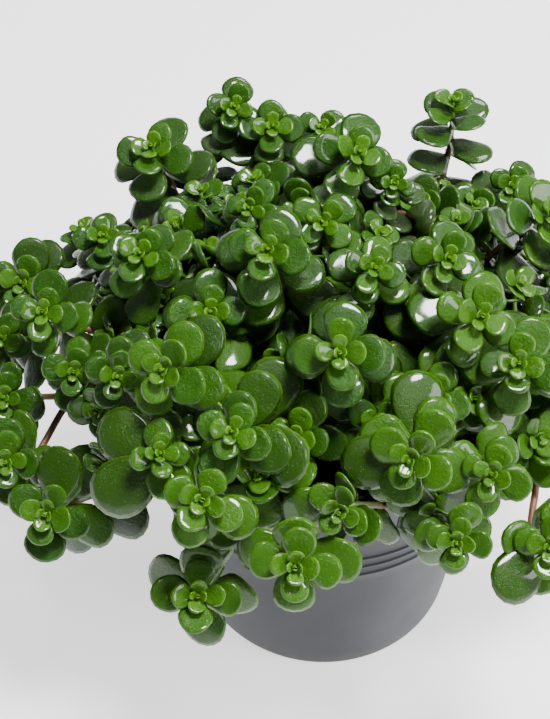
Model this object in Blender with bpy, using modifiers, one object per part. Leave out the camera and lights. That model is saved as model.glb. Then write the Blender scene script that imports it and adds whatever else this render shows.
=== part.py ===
"""Potted sedum: a bushy stonecrop with round fleshy leaves in a tapered plastic pot.

Lengths are in metres and +Z is up. The origin is the middle of the pot's flat foot.
"""

import itertools
import math
import random
from collections import namedtuple

import bmesh
import bpy
from mathutils import Matrix, Quaternion, Vector
from mathutils.bvhtree import BVHTree

MM = 0.001
UP = Vector((0, 0, 1))
POT = -1

# Pot
POT_HEIGHT = 128 * MM
POT_FOOT_RADIUS = 51.5 * MM
POT_TAPER = 0.093
POT_WALL = 1.8 * MM
POT_FLOOR = 2.2 * MM
POT_LIP_HEIGHT = 6 * MM
POT_LIP_STEP = 1.6 * MM
POT_EDGE = 0.7 * MM
POT_SIDES = 32
RIB_HEIGHTS = (75.7 * MM, 81.4 * MM, 87.2 * MM)
RIB_HALF_WIDTH = 1.3 * MM
RIB_DEPTH = 0.8 * MM
DRAIN_COUNT = 6
DRAIN_RADIUS = 4 * MM
DRAIN_CIRCLE = 32 * MM
DRAIN_SIDES = 10

# Soil
GAP = 0.3 * MM
SOIL_TOP = 116 * MM
SOIL_MOUND = 3 * MM
SOIL_LUMP = 0.7 * MM
SOIL_SIDES = 18
STEM_DEPTH = 12 * MM
HOLE_RADIUS = 1.8 * MM
HOLE_SIDES = 6

# The low dome of the shoot tips, centred over the pot
DOME_HEIGHT = 123 * MM
DOME_RADIUS = 106 * MM
DOME_RISE = 57 * MM

# Where the photograph was taken from: the shoots that it shows are placed by its columns and rows
PHOTO_MIDDLE = (275, 359.5)
PHOTO_FOCAL = 1300
VIEW_DOWN = math.radians(48.7)
VIEW_DISTANCE = 614 * MM
VIEW_TARGET = Vector((-19 * MM, 107.5 * MM, 0))

# Shoots
STEM_RADIUS = 1.2 * MM
ROOT_CIRCLE = 44 * MM
ROOT_SPACING = 7 * MM
FORK_EVERY = 2
LEAFLESS_SEGMENTS = 4
SHARPEST_BENDS = (math.radians(68), math.radians(88), math.radians(105))
LOWER_DEPTH = 20 * MM
STEM_HUB = Vector((0, 0, 104 * MM))
SHARPEST_TURN = math.radians(40)
HIDDEN_LEAN = 0.8
FORK_SOCKET = 2 * MM
SEED = 7

# Leaves, from the youngest pair of a shoot to its oldest. Two crossed pairs share a node of the stem.
PAIR_LENGTHS = tuple(mm * MM for mm in (7.4, 9.4, 11.4, 13.8, 16.0, 18.0, 19.8, 20.6))
LEAN_LIMITS = (34, 125)
PAIR_LEANS = (46, 57, 67, 75, 81, 86, 90, 93)
NODE_DEPTHS = tuple(mm * MM for mm in (2.8, 8.2, 17.0, 28.6))
NODE_HALF = 0.65 * MM
NODE_RADIUS = 1.5 * MM
BUD_HEIGHT = 1.2 * MM
LEAF_THICKNESS = 1.5 * MM
BLADE_CENTRE = 0.63
BLADE_RADIUS = 0.375
BLADE_ANGLES = (78, 27)
LIGHT_PULL = 0.35

# A shoot that the photograph shows: its tip's column and row there, how far in mm it stands out of the
# dome, the size of its leaves, how far apart its nodes are, the turn of its leaf cross in degrees, its
# count of nodes, and how many columns and rows its stem lies aside and below the tip 20 mm further down.
Seen = namedtuple("Seen", "column row out size stretch turn nodes aside below")
SEEN_SHOOTS = (
    Seen(152, 148, 2, 1.15, 1.05, 10, 4, 15, 28),
    Seen(234, 107, 2, 0.90, 1.30, 20, 3, -3, 15),
    Seen(272, 127, 0, 1.05, 1.00, 0, 3, -5, 22),
    Seen(322, 128, -4, 0.75, 1.00, 30, 3, 0, 20),
    Seen(358, 153, 4, 1.15, 1.00, 20, 4, -18, 22),
    Seen(394, 183, -6, 0.65, 1.00, 10, 3, -3, 12),
    Seen(453, 103, 14, 1.08, 1.50, 45, 4, -3, 44),
    Seen(512, 186, -4, 0.80, 1.00, 30, 3, -5, 14),
    Seen(548, 214, 3, 1.20, 1.00, 0, 4, -36, 24),
    Seen(249, 208, -4, 0.75, 1.00, 20, 3, 15, 12),
    Seen(268, 250, 4, 1.05, 1.00, 15, 4, 6, 18),
    Seen(140, 254, 2, 0.95, 1.00, 30, 4, 15, 20),
    Seen(103, 236, -3, 0.80, 1.00, 0, 3, 3, 22),
    Seen(21, 282, 0, 1.00, 1.00, 20, 4, 10, 4),
    Seen(43, 312, 2, 0.95, 1.00, 10, 3, 12, 12),
    Seen(2, 337, -3, 0.90, 1.00, 30, 3, 8, 6),
    Seen(375, 268, 1, 0.80, 1.00, 25, 3, -12, 14),
    Seen(448, 258, 3, 0.90, 1.00, 20, 3, -20, 12),
    Seen(481, 317, 5, 1.06, 1.10, 25, 4, -22, 12),
    Seen(519, 364, 4, 1.00, 1.00, 10, 4, -5, 12),
    Seen(340, 353, 5, 1.03, 1.00, 0, 4, 0, 5),
    Seen(163, 370, 5, 1.00, 1.00, 30, 4, 25, 3),
    Seen(117, 376, -2, 0.80, 1.00, 15, 3, -3, -6),
    Seen(232, 432, 1, 0.95, 1.00, 20, 3, 8, 8),
    Seen(160, 454, -4, 0.75, 1.00, 0, 3, 0, 12),
    Seen(202, 500, 0, 1.00, 1.00, 25, 4, 3, -3),
    Seen(46, 514, 0, 1.12, 1.20, 20, 4, 22, -9),
    Seen(198, 596, -8, 1.15, 1.00, 5, 3, 4, -6),
    Seen(295, 567, -8, 1.14, 1.00, 5, 3, 2, -14),
    Seen(410, 460, 2, 0.98, 1.00, 30, 4, 12, -12),
    Seen(457, 543, -4, 0.80, 1.00, 10, 3, 3, -14),
    Seen(492, 474, 0, 0.85, 1.00, 20, 3, 5, 0),
    Seen(550, 548, -2, 0.95, 1.00, 15, 3, 0, -6),
    Seen(294, 438, -16, 0.90, 1.00, 15, 4, 16, -5),
    Seen(377, 426, -18, 0.90, 1.00, 40, 4, 0, 0),
    Seen(4, 397, -6, 0.85, 1.00, 10, 3, 14, 0),
    Seen(6, 462, -8, 0.95, 1.00, 0, 3, 12, -4),
    Seen(210, 312, -9, 0.95, 1.00, 0, 4, 0, 10),
    Seen(432, 398, -12, 0.85, 1.00, 20, 3, 0, 4),
    Seen(322, 222, -10, 0.85, 1.00, 40, 3, 0, 14),
    Seen(74, 372, -8, 0.80, 1.00, 10, 3, 8, 4),
)

# The sides that the photograph hides or cuts off have rows of shoots by rule: each row's slope up the
# dome in degrees, how far in mm it stands out of it, its count, its first and last bearing, and the
# nodes of its shoots.
HIDDEN_STRETCH = 1.25
HiddenRow = namedtuple("HiddenRow", "slope out count first last nodes")
HIDDEN_ROWS = (
    HiddenRow(38, 0, 2, -14, 10, 4),
    HiddenRow(26, -16, 3, 62, 125, 3),
    HiddenRow(14, 0, 6, -20, 150, 4),
    HiddenRow(-5, 0, 6, -2, 166, 3),
)

Shoot = namedtuple("Shoot", "number tip axis low_axis size stretch turn nodes rooted")
Leaf = namedtuple("Leaf", "node along normal length lean arm swing")


def wall_radius(height):
    """Radius of the pot's outer wall at a height."""
    return POT_FOOT_RADIUS + POT_TAPER * height


def photo_ray(column, row):
    """Start and direction of the sight line through a column and row of the photograph."""
    forward = Vector((0, math.cos(VIEW_DOWN), -math.sin(VIEW_DOWN)))
    lift = Vector((0, math.sin(VIEW_DOWN), math.cos(VIEW_DOWN)))
    across = (column - PHOTO_MIDDLE[0]) / PHOTO_FOCAL
    above = (PHOTO_MIDDLE[1] - row) / PHOTO_FOCAL
    start = VIEW_TARGET - forward * VIEW_DISTANCE
    return start, (forward + Vector((1, 0, 0)) * across + lift * above)


def dome_point(column, row, out):
    """Where the sight line meets the dome, or passes nearest to it."""
    start, along = photo_ray(column, row)
    wide = DOME_RADIUS + out
    high = DOME_RISE + out
    shrink = Vector((1 / wide, 1 / wide, 1 / high))
    middle = Vector((0, 0, DOME_HEIGHT))
    near = (start - middle) * shrink
    step = along * shrink
    a = step.dot(step)
    b = near.dot(step)
    c = near.dot(near) - 1
    root = math.sqrt(max(0.0, b * b - a * c))
    return start + along * ((-b - root) / a)


def dome_normal(point):
    """Outward direction of the dome at a point."""
    local = point - Vector((0, 0, DOME_HEIGHT))
    return Vector(
        (local.x / DOME_RADIUS**2, local.y / DOME_RADIUS**2, local.z / DOME_RISE**2)
    ).normalized()


def photo_axis(point, aside, below):
    """Direction of a shoot whose stem lies aside and below its tip in the photograph."""
    start, _ = photo_ray(*PHOTO_MIDDLE)
    sight = point - start
    share = sight.length / PHOTO_FOCAL / LOWER_DEPTH
    sight.normalize()
    right = (Vector((1, 0, 0)) - sight * sight.x).normalized()
    across, lift = -aside * share, below * share
    near = math.sqrt(max(0.05, 1 - across**2 - lift**2))
    return (right * across + right.cross(sight) * lift - sight * near).normalized()


def tips():
    """Every shoot tip with the habit of its shoot."""
    draw = random.Random(SEED)
    found = []
    for seen in SEEN_SHOOTS:
        point = dome_point(seen.column, seen.row, seen.out * MM)
        axis = photo_axis(point, seen.aside, seen.below)
        found.append((point, axis, seen.size, seen.stretch, seen.turn, seen.nodes))
    for row in HIDDEN_ROWS:
        wide, high = DOME_RADIUS + row.out * MM, DOME_RISE + row.out * MM
        for i in range(row.count):
            share = i / (row.count - 1)
            bearing = math.radians(row.first + (row.last - row.first) * share + draw.uniform(-5, 5))
            slope = math.radians(row.slope + draw.uniform(-4, 4))
            reach = wide * math.cos(slope)
            height = DOME_HEIGHT + high * math.sin(slope)
            point = Vector((reach * math.cos(bearing), reach * math.sin(bearing), height))
            axis = (dome_normal(point) * HIDDEN_LEAN + UP).normalized()
            size, turn = draw.uniform(0.85, 1.1), draw.uniform(0, 90)
            found.append((point, axis, size, HIDDEN_STRETCH, turn, row.nodes))
    shoots = []
    for number, (point, axis, *habit) in enumerate(found):
        rooted = number % FORK_EVERY != FORK_EVERY - 1
        shoot = Shoot(number, point, axis, axis, *habit, rooted)
        shoots.append(shoot._replace(low_axis=lower_axis(shoot)))
    return shoots


def lower_axis(shoot):
    """Direction of the lower half of a leafy part: out from the plant's middle, and over the pot's rim."""
    _, turn, _ = leafy_points(shoot)
    out = (turn - STEM_HUB).normalized()
    sharp = shoot.axis.angle(out)
    if sharp > SHARPEST_TURN:
        out = shoot.axis.slerp(out, SHARPEST_TURN / sharp)
    level = Vector((-turn.y, turn.x, 0)).normalized()
    for dip in range(0, 64, 4):
        axis = Quaternion(level, math.radians(dip)) @ out
        foot, turn, _ = leafy_points(shoot._replace(low_axis=axis))
        if not any(near_pot(foot.lerp(turn, t / 8), NODE_RADIUS + GAP) for t in range(9)):
            return axis
    return out


def root_places(shoots):
    """Where the rooted stems leave the soil: the tips' plan drawn in, then spread apart."""
    places = {}
    for shoot in shoots:
        if not shoot.rooted:
            continue
        plan = Vector((shoot.tip.x, shoot.tip.y, 0))
        places[shoot.number] = plan * (ROOT_CIRCLE / (DOME_RADIUS * 1.1))
    for _ in range(60):
        for a in places:
            for b in places:
                if a >= b:
                    continue
                apart = places[a] - places[b]
                short = ROOT_SPACING - apart.length
                if short > 0:
                    push = apart.normalized() * (short / 2)
                    places[a] += push
                    places[b] -= push
        for place in places.values():
            if place.length > ROOT_CIRCLE:
                place *= ROOT_CIRCLE / place.length
    return places


def bezier(a, b, c, d, steps):
    """Points along a cubic curve, both ends included."""
    points = []
    for i in range(steps + 1):
        t = i / steps
        s = 1 - t
        points.append(a * s**3 + b * (3 * s * s * t) + c * (3 * s * t * t) + d * t**3)
    return points


def near_pot(point, clearance):
    """True where a point lies in the pot's wall or lip or in the soil, or within clearance of them."""
    reach = math.hypot(point.x, point.y)
    if point.z > POT_HEIGHT + clearance:
        return False
    inside = wall_radius(point.z) - POT_WALL - clearance
    if reach < inside:
        return point.z < SOIL_TOP + SOIL_MOUND * (1 - reach / inside) + SOIL_LUMP + clearance
    return reach < wall_radius(point.z) + POT_LIP_STEP + clearance


def segment_gap(p, q, r, s):
    """Shortest distance between segments pq and rs, closely enough for thin stems."""
    least = 1.0
    for i in range(5):
        point = p.lerp(q, i / 4)
        edge = s - r
        share = max(0.0, min(1.0, (point - r).dot(edge) / max(edge.length_squared, 1e-12)))
        least = min(least, (point - (r + edge * share)).length)
    return least


def routes_apart(route, others):
    """True where a route keeps clear of every other route."""
    for other in others:
        for p, q in zip(route, route[1:]):
            for r, s in zip(other, other[1:]):
                if (p - r).length > (p - q).length + (r - s).length + 4 * STEM_RADIUS:
                    continue
                if segment_gap(p, q, r, s) < 2 * NODE_RADIUS + GAP:
                    return False
    return True


def node_depth(shoot, node):
    """How far below the tip of a shoot a node is."""
    return NODE_DEPTHS[node] * shoot.size * shoot.stretch


def leafy_points(shoot):
    """The foot of a shoot's leafy part, where that part turns up, and the tip."""
    leafy = node_depth(shoot, shoot.nodes - 1) + 3 * MM
    turn = shoot.tip - shoot.axis * (leafy * 0.45)
    return [turn - shoot.low_axis * (leafy * 0.55), turn, shoot.tip]


def bends(route):
    """The angles by which a route turns at its points."""
    steps = [q - p for p, q in zip(route, route[1:])]
    return [a.angle(b) for a, b in zip(steps, steps[1:])]


def bent_clear(shoot, start, rise, lead, taken):
    """A route from start to the tip, bent sideways and lifted until it clears the pot and other stems."""
    leafy = leafy_points(shoot)
    foot = leafy[0]
    side = Vector((-shoot.tip.y, shoot.tip.x, 0)).normalized()
    span = (foot - start).length
    moves = itertools.product(
        SHARPEST_BENDS,
        (0, 4, 8, 12, 16, 20, 26, 32),
        (0, 4, -4, 8, -8, 12, -12, 16, -16, 22, -22, 28, -28),
    )
    for sharpest, lift, sway in moves:
        move = side * (sway * MM) + UP * (lift * MM)
        run = bezier(
            start,
            start + rise * (span * 0.45) + move,
            foot - shoot.low_axis * (span * 0.35) + move,
            foot,
            LEAFLESS_SEGMENTS,
        )
        route = lead + run + leafy[1:]
        if max(bends(route)) > sharpest:
            continue
        clear = not any(
            near_pot(p.lerp(q, t / 12), NODE_RADIUS + GAP)
            for p, q in zip(route[len(lead) :], route[len(lead) + 1 :])
            for t in range(13)
        )
        if clear and routes_apart(route[len(lead) :], taken):
            return route
    return None


def along_route(route, distance):
    """The point and direction at a distance back from the end of a route."""
    for p, q in zip(reversed(route[:-1]), reversed(route[1:])):
        length = (q - p).length
        if distance <= length:
            return q.lerp(p, distance / length), (q - p).normalized()
        distance -= length
    return route[0], (route[1] - route[0]).normalized()


def cross_directions(shoot, route, distance):
    """The two directions of a shoot's leaf cross, carried down its stem without twist."""
    level = Vector((0, math.sin(VIEW_DOWN), math.cos(VIEW_DOWN)))
    axis = (route[-1] - route[-2]).normalized()
    side = (level - axis * level.dot(axis)).normalized()
    side = Quaternion(axis, math.radians(-shoot.turn)) @ side
    for p, q in zip(reversed(route[:-1]), reversed(route[1:])):
        ahead = (q - p).normalized()
        side = axis.rotation_difference(ahead) @ side
        axis = ahead
        distance -= (q - p).length
        if distance <= 0:
            break
    return side, axis.cross(side)


def grow_stems(shoots):
    """Routes of the stems by shoot number, and the number of the rooted stem that each is part of."""
    routes = {}
    stem_of = {}
    places = root_places(shoots)
    for shoot in sorted(shoots, key=lambda s: not s.rooted):
        taken = list(routes.values())
        route = None
        if shoot.rooted:
            place = places[shoot.number]
            low = Vector((place.x, place.y, SOIL_TOP - STEM_DEPTH))
            high = Vector((place.x, place.y, SOIL_TOP + SOIL_MOUND + 3 * MM))
            route = bent_clear(shoot, high, UP, [low], taken)
            if route:
                stem_of[shoot.number] = shoot.number
        if not route:
            rooted = [s for s in shoots if s.number in routes and stem_of[s.number] == s.number]
            rooted.sort(key=lambda s: (s.tip - shoot.tip).length)
            for parent in rooted[:6]:
                trunk = routes[parent.number]
                others = [r for n, r in routes.items() if n != parent.number]
                leafless = sum((q - p).length for p, q in zip(trunk[1:-2], trunk[2:-1]))
                for share in (0.3, 0.45, 0.6, 0.15):
                    leafy = (trunk[-1] - trunk[-2]).length + (trunk[-2] - trunk[-3]).length
                    start, ahead = along_route(trunk, leafy + share * leafless)
                    away = (shoot.tip - start).normalized()
                    route = bent_clear(shoot, start, (ahead + away * 0.8).normalized(), [], others)
                    if route:
                        stem_of[shoot.number] = parent.number
                        break
                if route:
                    break
        if route:
            routes[shoot.number] = route
        else:
            print("no room for shoot", shoot.number)
    return routes, stem_of


def blade_height(x, y, length, lean):
    """Height of a blade's middle surface: it is cupped across, and curls up when young and down when old."""
    cup = 0.9 - lean / 130
    curl = 0.22 - lean / 260
    return (cup * x * x + curl * y * y) / length


def ring(shoot, route, distance, radius):
    """Four corners of a stem at a distance below its tip. They lie between the arms of its leaf cross."""
    centre, _ = along_route(route, distance)
    ahead = cross_directions(shoot, route, distance - GAP)
    behind = cross_directions(shoot, route, distance + GAP)
    side, other = ((a + b).normalized() for a, b in zip(ahead, behind))
    corners = []
    for i in range(4):
        angle = math.radians(45 + 90 * i)
        corners.append(centre + (side * math.cos(angle) + other * math.sin(angle)) * radius)
    return corners


def node_rings(shoot, route, node, grow=0.0):
    """The lower and upper corners of a node, between which its leaves grow out."""
    depth = node_depth(shoot, node)
    radius = NODE_RADIUS + grow
    half = NODE_HALF + grow
    return ring(shoot, route, depth + half, radius), ring(shoot, route, depth - half, radius)


def blade_points(leaf, grow=0.0):
    """The four points of a blade's outline, and its middle above and below."""
    across = leaf.along.cross(leaf.normal).normalized()
    face = across.cross(leaf.along).normalized()
    radius = BLADE_RADIUS * leaf.length + grow
    middle = BLADE_CENTRE * leaf.length
    thick = LEAF_THICKNESS / 2 * min(1.0, 0.5 + leaf.length / (24 * MM)) + grow

    def place(x, y, lift=0.0):
        height = blade_height(x, y, leaf.length, leaf.lean) + lift
        return leaf.node + across * x + leaf.along * y + face * height

    outline = []
    for angle in (*BLADE_ANGLES, *(-a for a in reversed(BLADE_ANGLES))):
        turn = math.radians(angle)
        outline.append(place(radius * math.sin(turn), middle + radius * math.cos(turn)))
    return outline + [place(0, middle, thick), place(0, middle, -thick)]


def blade_faces(arm, low, high, first):
    """Triangles of a leaf that grows out between two rings of a stem.

    low and high are the indices of the rings' first corners, and first is that of the blade's points.
    """
    before, after = (arm - 1) % 4, arm
    outline = list(range(first, first + 4))
    top, under = first + 4, first + 5
    upper = [high + before, *outline, high + after]
    lower = [low + before, *outline, low + after]
    faces = [(top, a, b) for a, b in zip(upper, upper[1:] + upper[:1])]
    faces += [(under, b, a) for a, b in zip(lower, lower[1:] + lower[:1])]
    faces += [(low + before, outline[0], high + before), (high + after, outline[-1], low + after)]
    return faces


def leaf_cage(leaf, low, high, grow=0.0):
    """One leaf with its share of the node, for tests."""
    return [*low, *high, *blade_points(leaf, grow)], blade_faces(leaf.arm, 0, 4, 8)


def blade_cage(leaf, grow=0.0):
    """A leaf's blade without its neck, for tests against its own stem and node."""
    points = blade_points(leaf, grow)
    rim = [(0, 1), (1, 2), (2, 3), (3, 0)]
    return points, [(4, a, b) for a, b in rim] + [(5, b, a) for a, b in rim]


def shoot_cage(shoot, route, leaves):
    """A whole shoot as one closed cage: a four-sided stem whose sides grow out into leaves at its nodes."""
    lengths = [(q - p).length for p, q in zip(route, route[1:])]
    stops = [(sum(lengths[i:]), STEM_RADIUS, None) for i in range(len(route) - 1)]
    if not shoot.rooted:
        stops[0] = (sum(lengths), STEM_RADIUS / 2, None)
        stops.append((sum(lengths) - FORK_SOCKET, STEM_RADIUS, None))
    for node in range(shoot.nodes):
        depth = node_depth(shoot, node)
        stops = [stop for stop in stops if abs(stop[0] - depth) > 3 * NODE_HALF]
        stops.append((depth + NODE_HALF, NODE_RADIUS, None))
        stops.append((depth - NODE_HALF, NODE_RADIUS, node))
    stops.sort(key=lambda stop: -stop[0])
    points, faces = [], [(3, 2, 1, 0)]
    high = 0
    for distance, radius, node in stops:
        low, high = high, len(points)
        points += ring(shoot, route, distance, radius)
        if high == 0:
            continue
        grown = {leaf.arm: leaf for at, leaf in leaves if at == node} if node is not None else {}
        for arm in range(4):
            before, after = (arm - 1) % 4, arm
            if arm in grown:
                faces += blade_faces(arm, low, high, len(points))
                points += blade_points(grown[arm])
            else:
                faces.append((low + before, low + after, high + after, high + before))
    tip = len(points)
    points.append(route[-1] + shoot.axis * BUD_HEIGHT)
    faces += [(high + (arm - 1) % 4, high + arm, tip) for arm in range(4)]
    return points, faces


def leaf_at(shoot, route, rank, half, draws, tilt=0.0, yaw=0.0, scale=1.0):
    """One leaf of a pair, with its own small differences and the bends that clear its neighbours."""
    wobble_lean, wobble_yaw, wobble_roll, wobble_size = draws
    depth = node_depth(shoot, rank // 2)
    centre, axis = along_route(route, depth)
    side, _ = cross_directions(shoot, route, depth)
    arm = rank % 2 + 2 * half
    out = Quaternion(axis, math.radians(90 * arm + wobble_yaw + yaw)) @ side
    lean = PAIR_LEANS[rank] + wobble_lean + tilt
    slope = math.radians(lean)
    along = (axis * math.cos(slope) + out * math.sin(slope)).normalized()
    normal = axis * math.sin(slope) - out * math.cos(slope)
    normal = normal + UP * (LIGHT_PULL * rank / len(PAIR_LEANS))
    normal = (normal - along * normal.dot(along)).normalized()
    normal = Quaternion(along, math.radians(wobble_roll)) @ normal
    length = PAIR_LENGTHS[rank] * shoot.size * scale * wobble_size
    leaf = Leaf(centre, along, normal, length, lean, arm, None)
    straight = Quaternion(axis, math.radians(90 * arm)) @ side
    left = axis.cross(straight)
    edges = [point - centre for point in blade_points(leaf)[:4]]
    swing = [math.degrees(math.atan2(edge.dot(left), edge.dot(straight))) for edge in edges]
    return leaf._replace(swing=(min(swing), max(swing)))


def beside(leaf, others):
    """True where a leaf keeps to its own side of the other leaves of its node."""
    for other in others:
        if other.arm == (leaf.arm + 1) % 4 and leaf.swing[1] > 86 + other.swing[0]:
            return False
        if other.arm == (leaf.arm - 1) % 4 and leaf.swing[0] < other.swing[1] - 86:
            return False
    return True


def bend_options():
    """Bends to try for a leaf, the slightest first: tilt and yaw in degrees, and scale."""
    options = [
        (tilt, yaw, scale)
        for scale in (1.0, 0.86, 0.72)
        for tilt in (0, 8, -8, 16, -16, 25, -25, 36)
        for yaw in (0, 10, -10, 20, -20, 32, -32)
    ]
    return sorted(options, key=lambda o: abs(o[0]) + 0.8 * abs(o[1]) + 150 * (1 - o[2]))


class Solids:
    """The pieces placed so far, kept so that a new one can be tested against them."""

    def __init__(self):
        self.placed = []

    def add(self, cage, shoot, part):
        points, faces = cage
        middle = sum(points, Vector()) / len(points)
        reach = max((p - middle).length for p in points)
        self.placed.append((BVHTree.FromPolygons(points, faces), middle, reach, shoot, part))

    def clear(self, cage, shoot, skip=(), only=None):
        """True where a cage touches nothing: of its own shoot, all but the skipped parts, or only one."""
        points, faces = cage
        middle = sum(points, Vector()) / len(points)
        reach = max((p - middle).length for p in points)
        tree = BVHTree.FromPolygons(points, faces)
        for other, centre, radius, owner, part in self.placed:
            if owner == shoot and part in skip:
                continue
            if only is not None and (owner, part) not in only:
                continue
            if (centre - middle).length < radius + reach and tree.overlap(other):
                return False
        return True


def tube_cage(route, radius):
    """A four-sided tube around a route, for tests only."""
    points, faces = [], []
    for i, place in enumerate(route):
        ahead = route[min(i + 1, len(route) - 1)] - route[max(i - 1, 0)]
        side = ahead.orthogonal().normalized()
        other = ahead.normalized().cross(side)
        for out in (side, other, -side, -other):
            points.append(place + out * (radius * 1.3))
    for i in range(len(route) - 1):
        for j in range(4):
            k = (j + 1) % 4
            faces.append((4 * i + j, 4 * i + k, 4 * i + 4 + k, 4 * i + 4 + j))
    return points, faces


def pot_guard():
    """A surface just off the pot's outside, its lip, its inner wall and the soil, for tests only."""
    off = 0.8 * MM
    inner = wall_radius(POT_HEIGHT) - POT_WALL - off
    lip = wall_radius(POT_HEIGHT) + POT_LIP_STEP + off
    low = POT_HEIGHT - POT_LIP_HEIGHT - 2 * off
    profile = [
        (0, SOIL_TOP + SOIL_MOUND + SOIL_LUMP + off),
        (inner, SOIL_TOP + SOIL_LUMP + off),
        (inner, POT_HEIGHT + off),
        (lip, POT_HEIGHT + off),
        (lip, low),
        (wall_radius(low) + off, low),
        (wall_radius(0) + off, 0),
    ]
    points, faces = [], []
    for radius, height in profile:
        for i in range(POT_SIDES):
            angle = 2 * math.pi * i / POT_SIDES
            points.append(Vector((radius * math.cos(angle), radius * math.sin(angle), height)))
    for row in range(len(profile) - 1):
        for i in range(POT_SIDES):
            k = (i + 1) % POT_SIDES
            here, there = row * POT_SIDES, (row + 1) * POT_SIDES
            faces.append((here + i, here + k, there + k, there + i))
    return points, faces


def grow_leaves(shoots, routes):
    """Leaves by shoot number, youngest pair first, each bent clear of its neighbours."""
    draw = random.Random(SEED + 1)
    options = bend_options()
    solids, blades = Solids(), Solids()
    living = [shoot for shoot in shoots if shoot.number in routes]
    grown = {shoot.number: [] for shoot in living}
    solids.add(pot_guard(), POT, "pot")
    for shoot in living:
        route = routes[shoot.number]
        solids.add(tube_cage(route[:-2], STEM_RADIUS + GAP), shoot.number, "stem")
        solids.add(tube_cage(route[-3:], STEM_RADIUS + GAP), shoot.number, "leafy stem")
    for rank in range(len(PAIR_LENGTHS)):
        node = rank // 2
        for shoot in living:
            stem, here = {(shoot.number, "leafy stem")}, {(shoot.number, node)}
            for half in range(2):
                draws = (
                    draw.uniform(-6, 6),
                    draw.uniform(-7, 7),
                    draw.uniform(-9, 9),
                    draw.uniform(0.93, 1.07),
                )
                if node >= shoot.nodes:
                    continue
                rings = node_rings(shoot, routes[shoot.number], node, GAP)
                siblings = [leaf for at, leaf in grown[shoot.number] if at == node]
                for tilt, yaw, scale in options:
                    leaf = leaf_at(shoot, routes[shoot.number], rank, half, draws, tilt, yaw, scale)
                    if not LEAN_LIMITS[0] < leaf.lean < LEAN_LIMITS[1] or not beside(leaf, siblings):
                        continue
                    cage, blade = leaf_cage(leaf, *rings, GAP), blade_cage(leaf, GAP)
                    if near_pot(cage[0][-1], GAP) or not blades.clear(cage, shoot.number, only=here):
                        continue
                    if not solids.clear(blade, shoot.number, only=stem | here):
                        continue
                    if solids.clear(cage, shoot.number, skip=(node, "leafy stem")):
                        solids.add(cage, shoot.number, node)
                        blades.add(blade, shoot.number, node)
                        grown[shoot.number].append((node, leaf))
                        break
    return grown


def collection(name):
    found = bpy.data.collections.new(name)
    bpy.context.scene.collection.children.link(found)
    return found


def clear_scene():
    for obj in list(bpy.data.objects):
        bpy.data.objects.remove(obj)


def material(name, colour, roughness):
    made = bpy.data.materials.new(name)
    made.use_nodes = True
    shader = made.node_tree.nodes["Principled BSDF"]
    shader.inputs["Base Color"].default_value = (*colour, 1)
    shader.inputs["Roughness"].default_value = roughness
    shader.inputs["Metallic"].default_value = 0
    return made


def mesh_object(name, points, faces, home):
    mesh = bpy.data.meshes.new(name)
    mesh.from_pydata([tuple(p) for p in points], [], faces)
    mesh.update()
    made = bpy.data.objects.new(name, mesh)
    home.objects.link(made)
    return made


def evaluated_mesh(source):
    """What a curve or a modified object shows, as a mesh with its loose ends welded."""
    bpy.context.view_layer.update()
    graph = bpy.context.evaluated_depsgraph_get()
    mesh = bpy.data.meshes.new_from_object(source.evaluated_get(graph))
    welded = bmesh.new()
    welded.from_mesh(mesh)
    bmesh.ops.remove_doubles(welded, verts=welded.verts, dist=0.01 * MM)
    welded.to_mesh(mesh)
    welded.free()
    return mesh


def evaluated_copy(source, name, home):
    """A plain mesh object that takes the place of a curve or a modified object."""
    made = bpy.data.objects.new(name, evaluated_mesh(source))
    made.matrix_world = source.matrix_world
    bpy.data.objects.remove(source)
    home.objects.link(made)
    return made


def boolean(target, helpers, operation, solver="EXACT"):
    """Joins a collection's objects to the target or cuts them from it, then removes them."""
    modifier = target.modifiers.new(operation.lower(), "BOOLEAN")
    modifier.operation = operation
    modifier.operand_type = "COLLECTION"
    modifier.collection = helpers
    modifier.solver = solver
    mesh = evaluated_mesh(target)
    target.modifiers.remove(modifier)
    target.data = mesh
    for helper in list(helpers.objects):
        bpy.data.objects.remove(helper)
    bpy.data.collections.remove(helpers)


def turned(name, profile, sides, home):
    """A solid turned from a profile of radius and height, as a plain mesh."""
    points = [Vector((radius, 0, height)) for radius, height in profile]
    made = mesh_object(name + "_profile", points, [], home)
    made.data.edges.add(len(profile) - 1)
    for i, edge in enumerate(made.data.edges):
        edge.vertices = (i, i + 1)
    screw = made.modifiers.new("turn", "SCREW")
    screw.steps = sides
    screw.render_steps = sides
    screw.use_merge_vertices = True
    screw.merge_threshold = 0.01 * MM
    return evaluated_copy(made, name, home)


def pot_profile():
    """Half section of the pot: floor, inner wall, lip, ribbed outer wall and foot."""
    lip = wall_radius(POT_HEIGHT) + POT_LIP_STEP
    lip_low = POT_HEIGHT - POT_LIP_HEIGHT
    inner_low = wall_radius(POT_FLOOR) - POT_WALL
    inner_high = wall_radius(POT_HEIGHT) - POT_WALL
    profile = [
        (0, POT_FLOOR),
        (inner_low, POT_FLOOR),
        (inner_high, POT_HEIGHT - POT_EDGE),
        (inner_high + POT_EDGE, POT_HEIGHT),
        (lip - POT_EDGE, POT_HEIGHT),
        (lip, POT_HEIGHT - POT_EDGE),
        (lip, lip_low),
        (wall_radius(lip_low), lip_low - POT_EDGE),
    ]
    for height in reversed(RIB_HEIGHTS):
        profile.append((wall_radius(height + RIB_HALF_WIDTH), height + RIB_HALF_WIDTH))
        profile.append((wall_radius(height) + RIB_DEPTH, height))
        profile.append((wall_radius(height - RIB_HALF_WIDTH), height - RIB_HALF_WIDTH))
    profile += [(wall_radius(2 * POT_EDGE), 2 * POT_EDGE), (POT_FOOT_RADIUS - POT_EDGE, 0), (0, 0)]
    return profile


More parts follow.
